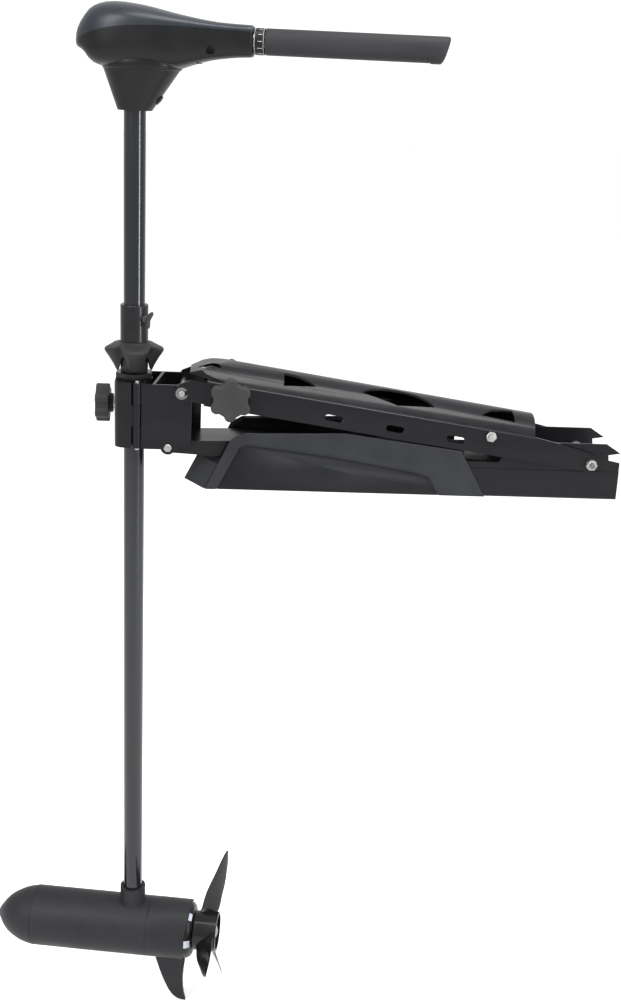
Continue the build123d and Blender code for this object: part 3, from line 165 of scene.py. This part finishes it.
HEAD_TOP = surface("head_blue_grey", (0.0085, 0.0105, 0.0145), 0.38, specular=0.2, grain=1700,
                   grain_depth=0.00009)
HEAD_BLACK = surface("head_black", (0.0044, 0.0045, 0.005), 0.36, specular=0.14, grain=1500,
                     grain_depth=0.00007)
GRIP_RUBBER = surface("grip_rubber", (0.0145, 0.0148, 0.0162), 0.62, specular=0.14, grain=1100,
                      grain_depth=0.00012)
SHAFT_GLOSS = surface("shaft_gloss", (0.0045, 0.005, 0.0068), 0.2, coat=0.28, specular=0.2,
                      grain=2200, grain_depth=0.00001, stretch=(1, 1, 0.05), dust=0.03)
UNIT_PAINT = surface("unit_charcoal", (0.0105, 0.0108, 0.0122), 0.5, specular=0.13, grain=1600,
                     grain_depth=0.00008, dust=0.05)
PROP_GLOSS = surface("prop_gloss", (0.0045, 0.0045, 0.0048), 0.25, coat=0.1, specular=0.14,
                     grain=900, grain_depth=0.00002)
STEEL = surface("stainless", (0.3, 0.295, 0.285), 0.3, metallic=1.0, variation=0.14, grain=2400,
                grain_depth=0.00003, stretch=(1, 1, 0.2))
DULL_STEEL = surface("dull_steel", (0.13, 0.13, 0.135), 0.42, metallic=1.0, grain=1500)
DECAL_GREY = surface("decal_grey", (0.3, 0.31, 0.36), 0.45, variation=0.06)
DIAL_WHITE = surface("dial_white", (0.42, 0.43, 0.44), 0.4, variation=0.04)
COPPER = surface("copper", (0.55, 0.26, 0.13), 0.35, metallic=1.0, variation=0.12)
# Near-black and almost without gloss: painted shade in the screw pocket, the neck slot and under
# the hood's nose, and the dark line of the nose seam.
SHADE_AND_SEAM_BLACK = surface("painted_shade_and_seam_black", (0.0016, 0.0016, 0.0016), 0.7, specular=0.05)

FINISH = {
    ANODISED: ["base_channel", "arm_plate_near", "arm_plate_far", "arm_insert", "lower_arm",
               "hinge_bracket", "bracket_door", "lower_pivot_bracket"],
    HOOD_PAINT: ["arm_cover"],
    COVER_PLASTIC: ["side_cover_near", "side_cover_far", "front_ramp"],
    KNOB_PLASTIC: ["arm_knob_near", "arm_knob_far", "door_knob", "cross_spacer", "speed_switch",
                   "brush_plate", "wing_screw"],
    COLLAR_PLASTIC: ["depth_collar", "shaft_bushing"],
    NUT_PLASTIC: ["steering_nut"],
    HEAD_BLACK: ["head_cone", "head_housing", "cable_gland", "speed_dial"],
    HEAD_TOP: ["head_cover"],
    GRIP_RUBBER: ["grip", "shaft_seal"],
    SHAFT_GLOSS: ["shaft_tube"],
    UNIT_PAINT: ["unit_body", "unit_nose", "unit_rear_bell", "skeg", "front_end_plate"],
    PROP_GLOSS: ["propeller"],
    STEEL: ["rear_pivot_nuts", "cross_bolt", "cross_nut", "front_pivot_pin",
            "door_hinge_pin", "prop_nut", "prop_shaft", "drive_pin", "lower_link_bolts",
            "clamp_nuts", "arm_knob_stud_near", "arm_knob_stud_far", "door_knob_bolt",
            "lower_pivot_pin", "bearings", "twist_tube"],
    DULL_STEEL: ["rear_pivot_bolts", "head_screws", "pin_clips", "through_bolts", "magnets",
                 "armature"],
    COPPER: ["commutator", "brushes"],
}


# ---------------------------------------------------------------- CAD nodes that stay
# Edge rounding of each visible CAD node, in millimetres.
EDGE = {
    "base_channel": 0.8, "arm_plate_near": 0.7, "arm_plate_far": 0.7, "arm_insert": 0.7,
    "arm_cover": 1.0, "side_cover_near": 0.9, "side_cover_far": 0.9, "front_ramp": 1.2,
    "lower_arm": 0.7, "hinge_bracket": 0.7, "bracket_door": 1.0, "shaft_bushing": 1.0,
    "head_cone": 2.4, "unit_body": 0.7, "unit_nose": 0.5, "skeg": 1.6, "propeller": 0.5,
    "depth_collar": 0.5, "door_knob": 1.2, "arm_knob_near": 1.0, "arm_knob_far": 1.0,
    "speed_dial": 0.3, "wing_screw": 0.8, "rear_pivot_nuts": 0.5, "cross_nut": 0.5,
    "cross_bolt": 0.5, "lower_link_bolts": 0.5, "pin_clips": 0.3, "front_pivot_pin": 0.6,
    "rear_pivot_bolts": 0.5, "door_hinge_pin": 0.5, "prop_nut": 0.4,
}
SMOOTH_BELOW, FLAT_BELOW = radians(32), radians(0.3)
WELD_GAP, BEVEL_STEPS, FACE_WEIGHT = 0.00001, 2, 100


def soften(node, width):
    """Joins a CAD mesh's split corners, rounds its edges and shades it smooth."""
    if "custom_normal" in node.data.attributes:
        node.data.attributes.remove(node.data.attributes["custom_normal"])
    for polygon in node.data.polygons:
        polygon.use_smooth = True
    weld = node.modifiers.new("join", "WELD")
    weld.merge_threshold = WELD_GAP
    flat = node.modifiers.new("flats", "DECIMATE")
    flat.decimate_type = "DISSOLVE"
    flat.angle_limit = FLAT_BELOW
    if width:
        bevel = node.modifiers.new("edges", "BEVEL")
        bevel.width = width * MM
        bevel.segments = BEVEL_STEPS
        bevel.limit_method = "ANGLE"
        bevel.angle_limit = SMOOTH_BELOW
    even = node.modifiers.new("shading", "WEIGHTED_NORMAL")
    even.weight = FACE_WEIGHT


for material, names in FINISH.items():
    for name in names:
        NODES[name].data.materials.clear()
        NODES[name].data.materials.append(material)
for name, width in EDGE.items():
    soften(NODES[name], width)


# ---------------------------------------------------------------- piece helpers
MERGE_GAP = 0.000001
RING_STEPS = 64


def piece(name, mesh, material, body, stands_for=()):
    """A finished piece: placed, painted, riding on its body and standing for its nodes."""
    made = bpy.data.objects.new(name, mesh)
    bpy.context.scene.collection.objects.link(made)
    mesh.materials.append(material)
    for polygon in mesh.polygons:
        polygon.use_smooth = True
    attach(made, body)
    if stands_for:
        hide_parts(*stands_for)
    return made


def skin(name, rings, place, *, close=True, start_cap=True, end_cap=True):
    """A mesh through rings of points, each ring joined to the next."""
    form = bmesh.new()
    loops = [[form.verts.new(place @ Vector(point)) for point in ring] for ring in rings]
    for first, second in zip(loops, loops[1:]):
        count = len(first)
        for i in range(count if close else count - 1):
            j = (i + 1) % count
            form.faces.new((first[i], first[j], second[j], second[i]))
    if start_cap:
        form.faces.new(loops[0][::-1])
    if end_cap:
        form.faces.new(loops[-1])
    bmesh.ops.remove_doubles(form, verts=form.verts, dist=MERGE_GAP)
    bmesh.ops.recalc_face_normals(form, faces=form.faces)
    mesh = bpy.data.meshes.new(name)
    form.to_mesh(mesh)
    form.free()
    return mesh


def rounded(made, width, angle=30, segments=3):
    """Rounds a piece's sharp edges, width in millimetres."""
    bevel = made.modifiers.new("edges", "BEVEL")
    bevel.width = width * MM
    bevel.segments = segments
    bevel.limit_method = "ANGLE"
    bevel.angle_limit = radians(angle)
    bevel.harden_normals = True


def curve_value(points, x):
    """Smooth value at x of a line through (x, value) points, flat-sloped past its ends."""
    if x <= points[0][0]:
        return points[0][1]
    if x >= points[-1][0]:
        return points[-1][1]
    last = len(points) - 1
    i = max(k for k in range(last) if points[k][0] <= x)
    (x0, y0), (x1, y1) = points[i], points[i + 1]
    before = points[max(i - 1, 0)]
    after = points[min(i + 2, last)]
    slope0 = (y1 - before[1]) / (x1 - before[0])
    slope1 = (after[1] - y0) / (after[0] - x0)
    t, gap = (x - x0) / (x1 - x0), x1 - x0
    return ((2 * t**3 - 3 * t**2 + 1) * y0 + (t**3 - 2 * t**2 + t) * gap * slope0
            + (3 * t**2 - 2 * t**3) * y1 + (t**3 - t**2) * gap * slope1)


def power(value, exponent):
    """Signed power, for superellipses."""
    return abs(value) ** exponent * (1 if value >= 0 else -1)


# ---------------------------------------------------------------- head
# Side and plan lines of the head, in millimetres from the shaft's axis.
HEAD_TOP_LINE = [(-75.4, 572.5), (-73, 583), (-66, 597), (-52, 613.5), (-28, 620.8), (10, 618.4),
                 (60, 608.6), (105, 602), (151, 600)]
HEAD_SEAM_LINE = [(-75.4, 572.5), (-49, 582.5), (-20, 589.5), (20, 593.3), (70, 594), (151, 592)]
HEAD_FLOOR_LINE = [(-75.4, 572.5), (-72, 566), (-62, 560.5), (-53, 550), (-42, 544.2), (0, 544),
                   (59, 544.2), (66, 546.8), (95, 555.5), (124, 560.1), (151, 562)]
HEAD_WIDTH_LINE = [(-75.4, 1), (-73, 12), (-66, 27), (-40, 45.5), (0, 51.8), (40, 45), (80, 31),
                   (120, 21.5), (151, 19)]
HEAD_STATIONS = [-75.4, -75, -74, -72, -69, -65, -60, -54, -48, -41, -32, -22, -10, 2, 14, 26, 38,
                 50, 59, 66, 74, 84, 96, 108, 120, 132, 142, 148, 150.4, 151]
END_ROUND = 3.0
HEAD_END_X = HEAD_STATIONS[-1]
TOP_SQUARENESS, FLOOR_SQUARENESS, HALF_RING_STEPS = 2.5, 3.4, 28


def head_ring(x, upward):
    """One half of the head's outline at x, from side to side over the top or under the floor."""
    half = curve_value(HEAD_WIDTH_LINE, x)
    seam = curve_value(HEAD_SEAM_LINE, x)
    edge = curve_value(HEAD_TOP_LINE if upward else HEAD_FLOOR_LINE, x)
    tuck = 0.0
    if x > HEAD_END_X - END_ROUND:
        tuck = END_ROUND - sqrt(max(END_ROUND**2 - (x - HEAD_END_X + END_ROUND) ** 2, 0))
    half, edge = half - tuck, edge - tuck * (1 if upward else -1)
    squareness = TOP_SQUARENESS if upward else FLOOR_SQUARENESS
    points = []
    for k in range(HALF_RING_STEPS + 1):
        turn = pi * k / HALF_RING_STEPS
        y = half * power(cos(turn), 2 / squareness)
        z = seam + (edge - seam) * sin(turn) ** (2 / squareness)
        points.append((x * MM, y * MM, z * MM - HANDLE_Z))
    return points


for upward, name, material, slot in ((True, "head_cover", HEAD_TOP, "head_blue_grey"),
                                     (False, "head_housing", HEAD_BLACK, "head_black")):
    rings = [head_ring(x, upward) for x in HEAD_STATIONS]
    shell = piece(name + "_shell", skin(name + "_shell", rings, HANDLE), material, "motor",
                  [name])
    rounded(shell, 0.5, 40, 2)

# Oval lip between the cone and the housing, as (height, share of its full size).
LIP_MIDDLE, LIP_LENGTH, LIP_WIDTH, LIP_STEPS = 9.0, 50.0, 40.0, 72
LIP_LINE = [(541.5, 0.97), (542.5, 1.005), (544.5, 1.02), (546, 1.03), (552, 1.07), (557, 1.0)]
lip_rings = []
for z, grow in LIP_LINE:
    lip_rings.append([((LIP_MIDDLE + LIP_LENGTH * grow * cos(2 * pi * k / LIP_STEPS)) * MM,
                       LIP_WIDTH * grow * sin(2 * pi * k / LIP_STEPS) * MM, z * MM - HANDLE_Z)
                      for k in range(LIP_STEPS)])
piece("cone_lip", skin("cone_lip", lip_rings, HANDLE), HEAD_BLACK, "motor")


# ---------------------------------------------------------------- grip and dial
GRIP_START, GRIP_STEP, GRIP_END, GRIP_SLANT = 166.0, 372.0, 397.0, 9.0
GRIP_R, HEEL = 16.1, 0.9
GRIP_SQUARENESS = 2.5


def grip_ring(x, radius, slant=0.0, heel=0.0):
    """A ring of the grip's rounded square section, its end leaning by slant at the bottom."""
    points = []
    for k in range(RING_STEPS):
        turn = 2 * pi * k / RING_STEPS
        y = radius * power(cos(turn), 2 / GRIP_SQUARENESS)
        z = radius * power(sin(turn), 2 / GRIP_SQUARENESS)
        z -= heel * max(-sin(turn), 0) ** 0.5
        points.append(((x - slant * (1 - z / GRIP_R) / 2) * MM, y * MM, z * MM))
    return points


grip_outline = [(GRIP_START, GRIP_R - 1.2), (GRIP_START + 0.4, GRIP_R - 0.4),
                (GRIP_START + 1.4, GRIP_R), (GRIP_STEP - 0.3, GRIP_R),
                (GRIP_STEP, GRIP_R, 0, HEEL),
                (GRIP_END - 6, GRIP_R, GRIP_SLANT - 1, HEEL),
                (GRIP_END - 3, GRIP_R - 0.4, GRIP_SLANT, HEEL),
                (GRIP_END - 1.4, GRIP_R - 2, GRIP_SLANT), (GRIP_END - 0.5, GRIP_R - 5, GRIP_SLANT),
                (GRIP_END - 0.1, GRIP_R * 0.4, GRIP_SLANT),
                (GRIP_END, 0.3, GRIP_SLANT)]
grip_mesh = skin("grip_sleeve", [grip_ring(*row) for row in grip_outline], HANDLE)
piece("grip_sleeve", grip_mesh, GRIP_RUBBER, "grip", ["grip"])

DIAL_START, DIAL_END, DIAL_R = 152.6, 165.2, 16.2
# Lines and marks are let into the dial and stand a hair proud of it.
MARK_SUNK, MARK_PROUD, LINE_WIDTH, LINE_THICK = 0.4, 0.04, 0.3, 0.45
MARK_COUNT, MARK_FIRST, MARK_PITCH = 11, -150, 30
MARK_SHORTEST, MARK_GROWTH, MARK_HALF_WIDTH, MARK_INSET = 1.2, 0.55, 0.22, 2.4


def ring_band(name, x0, x1, radius, thick, place):
    """A thin band round an axis, from x0 to x1."""
    section = [(x0, radius), (x1, radius), (x1, radius + thick), (x0, radius + thick)]
    rings = []
    for k in range(RING_STEPS):
        turn = 2 * pi * k / RING_STEPS
        rings.append([(x * MM, r * cos(turn) * MM, r * sin(turn) * MM) for x, r in section])
    rings.append(rings[0])
    return skin(name, rings, place, start_cap=False, end_cap=False)


def box_mesh(form, corners, place):
    """Adds a block to a bmesh between two corners, moved by place."""
    (x0, y0, z0), (x1, y1, z1) = corners
    middle = Vector(((x0 + x1) / 2, (y0 + y1) / 2, (z0 + z1) / 2)) * MM
    size = Vector((x1 - x0, y1 - y0, z1 - z0)) * MM
    matrix = place @ Matrix.Translation(middle) @ Matrix.Diagonal((*size, 1))
    bmesh.ops.create_cube(form, size=1, matrix=matrix)


for index, x in enumerate((DIAL_START + 0.5, DIAL_END - 1.1)):
    band = ring_band(f"dial_line_{index}", x, x + LINE_WIDTH, DIAL_R - MARK_SUNK, LINE_THICK,
                     HANDLE)
    piece(f"dial_line_{index}", band, DIAL_WHITE, "throttle")

# Speed marks: bars round the dial, each longer than the one before.
marks = bmesh.new()
for k in range(MARK_COUNT):
    turn = Matrix.Rotation(radians(MARK_FIRST + MARK_PITCH * k), 4, "X")
    length = MARK_SHORTEST + MARK_GROWTH * k
    box_mesh(marks, ((DIAL_END - MARK_INSET - length, -MARK_HALF_WIDTH, DIAL_R - MARK_SUNK),
                     (DIAL_END - MARK_INSET, MARK_HALF_WIDTH, DIAL_R + MARK_PROUD)),
             HANDLE @ turn)
marks_mesh = bpy.data.meshes.new("dial_marks")
marks.to_mesh(marks_mesh)
marks.free()
piece("dial_marks", marks_mesh, DIAL_WHITE, "throttle")


# ---------------------------------------------------------------- recesses of the head, drawn as painted shade
def slab(name, corners, place, material, body):
    """A plain block between two corners, in millimetres of a place."""
    form = bmesh.new()
    box_mesh(form, corners, place)
    mesh = bpy.data.meshes.new(name)
    form.to_mesh(mesh)
    form.free()
    return piece(name, mesh, material, body)


# Painted shade: a near-black plug in a small arched pocket for a screw in the near side, and a
# near-black block in a slot under the neck.
POCKET_X, POCKET_Z, POCKET_R, POCKET_DEPTH, POCKET_PROUD = 100.0, -14.5, 4.2, 3.0, 0.35
POCKET_RISE, POCKET_FOOT, POCKET_STEPS, HOUSING_DEPTH = 1.5, 3, 12, 36
NECK_SLOT_SHADE = ((68, -12, -29.5), (84, 12, -24))
pocket_half = curve_value(HEAD_WIDTH_LINE, POCKET_X)
pocket_rings = []
for depth in (POCKET_PROUD, -POCKET_DEPTH):
    ring = [(POCKET_R * cos(pi * k / POCKET_STEPS),
             POCKET_R * POCKET_RISE * sin(pi * k / POCKET_STEPS)) for k in range(POCKET_STEPS + 1)]
    ring += [(-POCKET_R, -POCKET_FOOT), (POCKET_R, -POCKET_FOOT)]
    lean = [pocket_half * power(
        1 - min(abs((POCKET_Z + v) / HOUSING_DEPTH), 1) ** FLOOR_SQUARENESS, 1 / FLOOR_SQUARENESS)
        for u, v in ring]
    pocket_rings.append([((POCKET_X + u) * MM, (-side - depth) * MM, (POCKET_Z + v) * MM)
                         for (u, v), side in zip(ring, lean)])
pocket_shade_mesh = skin("screw_pocket_painted_shade", pocket_rings, HANDLE)
piece("screw_pocket_painted_shade", pocket_shade_mesh, SHADE_AND_SEAM_BLACK, "motor")
slab("neck_slot_painted_shade", NECK_SLOT_SHADE, HANDLE, SHADE_AND_SEAM_BLACK, "motor")


# ---------------------------------------------------------------- panels of the side covers
# Outline of a recessed panel along the base, in millimetres from the base's origin.
PANEL_LINE = [(-273.2, 0.7), (-244.6, 59.4), (-235.6, 63.9), (-120.2, 51.0), (-1.2, 31.6),
              (17.2, 25.5), (31.4, 0.7)]
PANEL_FACE, PANEL_BACK = 47.2, 46.6
for side, name in ((-1, "near"), (1, "far")):
    panel_rings = [[(x * MM, side * y * MM, z * MM) for x, z in PANEL_LINE]
                   for y in (PANEL_BACK, PANEL_FACE)]
    panel = skin(f"cover_panel_{name}", panel_rings, Matrix.Identity(4))
    piece(f"cover_panel_{name}", panel, PANEL_PLASTIC, "base")

# Painted shade under the hood's nose: a near-black slab, in the upper arm's own directions.
HOOD_NOSE_SHADE = ((-562, -21, 21.5), (-515, 21, 23.5))
STOW = place_from("stow").translation
ARM_DROP = radians(8.173)
ARM_PLACE = Matrix.Translation(STOW) @ Matrix.Rotation(ARM_DROP, 4, "Y")
slab("hood_nose_painted_shade", HOOD_NOSE_SHADE, ARM_PLACE, SHADE_AND_SEAM_BLACK, "upper_arm")


# ---------------------------------------------------------------- steering nut
NUT_BOTTOM, NUT_TOP, NUT_BORE, NECK_R, NUT_CORE_R = 151.6, 193.5, 14.7, 18.6, 19.6
NUT_HEADING = radians(8)
PETALS = 4
# Outside of a petal down its middle, as (share of its length, radius).
PETAL_LINE = [(0, 19.2), (0.05, 21.5), (0.1, 26), (0.17, 33.5), (0.23, 38.6), (0.29, 40),
              (0.36, 39.2), (0.55, 34.2), (0.8, 28.3), (1, 24.4)]
PETAL_ROWS, PETAL_STEPS = 30, 144
PETAL_TIP, PETAL_ROOT, PETAL_THICK = 154.0, 172.0, 3.0
# The hem drops from root to tip over this part of a petal's width.
HEM_START, HEM_SPAN, HEM_CURVE = 0.35, 0.5, 0.6
# The groove between petals keeps this share of their reach, and narrows them downwards.
GROOVE_REACH, GROOVE_CURVE, GROOVE_NARROWING = 0.3, 0.35, 1.1


def petal_share(turn):
    """How far an angle is into a petal: 1 at its middle, 0 halfway to the next one."""
    return abs(cos(PETALS / 2 * (turn - NUT_HEADING)))


def nut_point(turn, down):
    """A point of the petals' outside at an angle, down from the top by a share of its length."""
    share = petal_share(turn)
    hem = min(max((share - HEM_START) / HEM_SPAN, 0), 1)
    bottom = PETAL_ROOT - (PETAL_ROOT - PETAL_TIP) * hem**HEM_CURVE
    reach = curve_value(PETAL_LINE, down)
    curve = GROOVE_CURVE + GROOVE_NARROWING * down
    spread = GROOVE_REACH + (1 - GROOVE_REACH) * share**curve
    radius = NUT_CORE_R + (reach - NUT_CORE_R) * spread
    height = NUT_TOP + (bottom - NUT_TOP) * down
    return Vector((radius * cos(turn), radius * sin(turn), height)) * MM


NUT_PLACE = Matrix.Translation(SHAFT_TOP)
petal_rings = [[nut_point(2 * pi * k / PETAL_STEPS, row / PETAL_ROWS) for k in range(PETAL_STEPS)]
               for row in range(PETAL_ROWS + 1)]
petal_mesh = skin("nut_petals", petal_rings, NUT_PLACE, start_cap=False, end_cap=False)
petals = piece("nut_petals", petal_mesh, NUT_PLASTIC, "steering_nut",
               ["steering_nut"])
thick = petals.modifiers.new("wall", "SOLIDIFY")
thick.thickness = PETAL_THICK * MM
thick.offset = -1


def round_band(name, outline, steps, place):
    """A closed ring turned about the upright axis from (radius, z) points."""
    rings = []
    for k in range(steps + 1):
        turn = 2 * pi * k / steps
        rings.append([(r * cos(turn) * MM, r * sin(turn) * MM, z * MM) for r, z in outline])
    return skin(name, rings, place, start_cap=False, end_cap=False)


neck = [(NUT_BORE, NUT_BOTTOM + 34), (NECK_R - 1.6, NUT_BOTTOM), (NECK_R - 0.6, NUT_BOTTOM),
        (NECK_R, NUT_BOTTOM + 0.8), (NECK_R, 180), (NECK_R + 0.6, NUT_TOP - 1), (NECK_R, NUT_TOP),
        (NUT_BORE, NUT_TOP)]
piece("nut_neck", round_band("nut_neck", neck, 96, NUT_PLACE), NUT_PLASTIC, "steering_nut")

# Wing of the depth collar's screw: two rounded lobes.
WING = place_from("wing_screw_turn")
WING_LINE = [(0, -4), (3, -8.5), (6.5, -12), (9.6, -11.6), (10.2, -8.5), (8.2, -4), (7.2, 0),
             (8.2, 4), (10.2, 8.5), (9.6, 11.6), (6.5, 12), (3, 8.5), (0, 4)]
WING_START, WING_MIDDLE, WING_THICK, WING_TURN = 21.5, 4.6, 3.6, radians(-22)
WING_FACE, WING_CHAMFER = 0.82, 0.7
STEM_START, STEM_END, STEM_BORE, STEM_WALL = 15.5, 24.5, 0.4, 5.4
wing_rings = [[((WING_START + WING_MIDDLE + (u - WING_MIDDLE) * grow) * MM, y * MM, v * grow * MM)
               for u, v in WING_LINE]
              for y, grow in ((-WING_THICK / 2, WING_FACE), (-WING_THICK / 2 + WING_CHAMFER, 1),
                              (WING_THICK / 2 - WING_CHAMFER, 1), (WING_THICK / 2, WING_FACE))]
wing_place = Matrix.Translation(SHAFT_TOP + Vector((0, 0, WING.translation.z)))
wing_place = wing_place @ WING.to_3x3().to_4x4() @ Matrix.Rotation(WING_TURN, 4, "X")
wing = piece("wing_lobes", skin("wing_lobes", wing_rings, wing_place), KNOB_PLASTIC, "wing_screw",
             ["wing_screw"])
wing_round = wing.modifiers.new("round", "SUBSURF")
wing_round.levels = wing_round.render_levels = 2
stem = ring_band("wing_stem", STEM_START, STEM_END, STEM_BORE, STEM_WALL, wing_place)
piece("wing_stem", stem, KNOB_PLASTIC, "wing_screw")


# ---------------------------------------------------------------- rear of the lower unit
UNIT_R, BELL_START, BELL_RIM = 45.8, 28.0, 89.0
RIM_LEAN, RIM_HOLLOW, RIM_FREE, LIP = 5.0, 1.2, 5, 2.2
DOME_LINE = [(78, 43.4), (88, 43.3), (92.5, 42.4), (96, 40.2), (98.3, 36.8), (99, 33), (99, 10)]


def turned(profile, steps=96, wave=None):
    """Rings of a turned shape from (x, radius) points; wave moves a point's x by its angle."""
    rings = []
    for x, radius in profile:
        ring = []
        for k in range(steps):
            turn = 2 * pi * k / steps
            shift = wave(x, turn) if wave else 0.0
            ring.append(((x + shift) * MM, radius * cos(turn) * MM, radius * sin(turn) * MM))
        rings.append(ring)
    return rings


def rim_wave(x, turn):
    """The rear rim reaches further aft at the top and hollows a little at the sides."""
    if x < BELL_START + RIM_FREE:
        return 0.0
    return RIM_LEAN * sin(turn) - RIM_HOLLOW * cos(turn) ** 2


sleeve_profile = [(BELL_START, UNIT_R - 0.5), (BELL_START + 0.5, UNIT_R), (BELL_START + 2, UNIT_R),
                  (BELL_RIM - 1.2, UNIT_R), (BELL_RIM - 0.3, UNIT_R - 0.4),
                  (BELL_RIM, UNIT_R - 1.2), (BELL_RIM, UNIT_R - LIP), (BELL_RIM - 12, UNIT_R - LIP)]
sleeve_mesh = skin("bell_sleeve", turned(sleeve_profile, wave=rim_wave), UNIT, start_cap=False,
                   end_cap=False)
piece("bell_sleeve", sleeve_mesh, UNIT_PAINT, "motor", ["unit_rear_bell"])
dome_mesh = skin("bell_dome", turned(DOME_LINE), UNIT, start_cap=False)
piece("bell_dome", dome_mesh, HEAD_BLACK, "motor")

NOSE_SEAM, SEAM_HALF, SEAM_SUNK, SEAM_THICK = -155.0, 0.35, 0.4, 0.42
seam = ring_band("nose_seam", NOSE_SEAM - SEAM_HALF, NOSE_SEAM + SEAM_HALF, UNIT_R - SEAM_SUNK,
                 SEAM_THICK, UNIT)
piece("nose_seam", seam, SHADE_AND_SEAM_BLACK, "motor")

PATCH_COUNT, PATCH_WIDTH, PATCH_TURN = 6, radians(17), radians(180 - 63)
PATCH_STATIONS, PATCH_STEPS, PATCH_LIFT = (89.0, 91.0, 93.0, 95.0, 96.5, 97.6), 8, 0.2


def dome_patch(name, middle):
    """A thin plain patch on the rear dome about an angle."""
    rings = []
    for x in PATCH_STATIONS:
        radius = curve_value(DOME_LINE, x) + PATCH_LIFT
        rings.append([])
        for k in range(PATCH_STEPS + 1):
            turn = middle + PATCH_WIDTH * (k / PATCH_STEPS - 0.5)
            rings[-1].append((x * MM, radius * cos(turn) * MM, radius * sin(turn) * MM))
    return skin(name, rings, UNIT, close=False, start_cap=False, end_cap=False)


for index in range(PATCH_COUNT):
    patch = dome_patch(f"dome_patch_{index}", PATCH_TURN + 2 * pi * index / PATCH_COUNT)
    piece(f"dome_patch_{index}", patch, DECAL_GREY, "motor")


# ---------------------------------------------------------------- floor, light and camera
FLOOR_DROP, FLOOR_HALF = 0.004, 30
floor_corners = [(x * FLOOR_HALF, y * FLOOR_HALF, 0)
                 for x, y in ((-1, -1), (1, -1), (1, 1), (-1, 1))]
floor_mesh = bpy.data.meshes.new("studio_floor")
floor_mesh.from_pydata(floor_corners, [], [(0, 1, 2, 3)])
floor = bpy.data.objects.new("studio_floor", floor_mesh)
floor.location.z = CAD_BOX[0][2] - FLOOR_DROP
floor_mesh.materials.append(surface("pale_floor", (0.86, 0.86, 0.86), 0.6, variation=0.01))
bpy.context.scene.collection.objects.link(floor)

WORLD_STRENGTH = 1.15
world = bpy.data.worlds.new("studio")
bpy.context.scene.world = world
world.use_nodes = True
background = world.node_tree.nodes["Background"]
background.inputs["Color"].default_value = (1, 1, 1, 1)
background.inputs["Strength"].default_value = WORLD_STRENGTH


def soft_light(name, position, target, size, power_w):
    """A rectangular softbox aimed at a point."""
    data = bpy.data.lights.new(name, "AREA")
    data.shape = "RECTANGLE"
    data.size, data.size_y = size
    data.energy = power_w
    lamp = bpy.data.objects.new(name, data)
    lamp.location = position
    lamp.rotation_euler = (Vector(target) - Vector(position)).to_track_quat("-Z", "Y").to_euler()
    bpy.context.scene.collection.objects.link(lamp)


soft_light("key", position=(-2.2, -2.0, 1.9), target=(-0.3, 0, 0), size=(0.7, 2.2), power_w=130)
soft_light("top", position=(0.2, -0.4, 2.6), target=(-0.1, 0, 0), size=(2.0, 1.0), power_w=95)
soft_light("right_strip", position=(1.9, -1.5, 0.6), target=(-0.2, 0, 0), size=(0.35, 2.4),
           power_w=80)

# The camera looks along its heading, pitched down and slightly rolled.
CAMERA_AT = Vector((-0.25657, -1.71317, 0.54333))
HEADING, PITCH, ROLL = radians(3.865), radians(18.379), radians(2.788)
FOCAL_MM, SENSOR_MM = 45.87, 36.0
camera_data = bpy.data.cameras.new("camera")
camera_data.lens = FOCAL_MM
camera_data.sensor_width = SENSOR_MM
camera = bpy.data.objects.new("camera", camera_data)
bpy.context.scene.collection.objects.link(camera)
aim = Matrix.Rotation(-HEADING, 4, "Z") @ Matrix.Rotation(pi / 2 - PITCH, 4, "X")
camera.matrix_world = Matrix.Translation(CAMERA_AT) @ aim @ Matrix.Rotation(ROLL, 4, "Z")
bpy.context.scene.camera = camera
bpy.context.scene.view_settings.view_transform = "Standard"
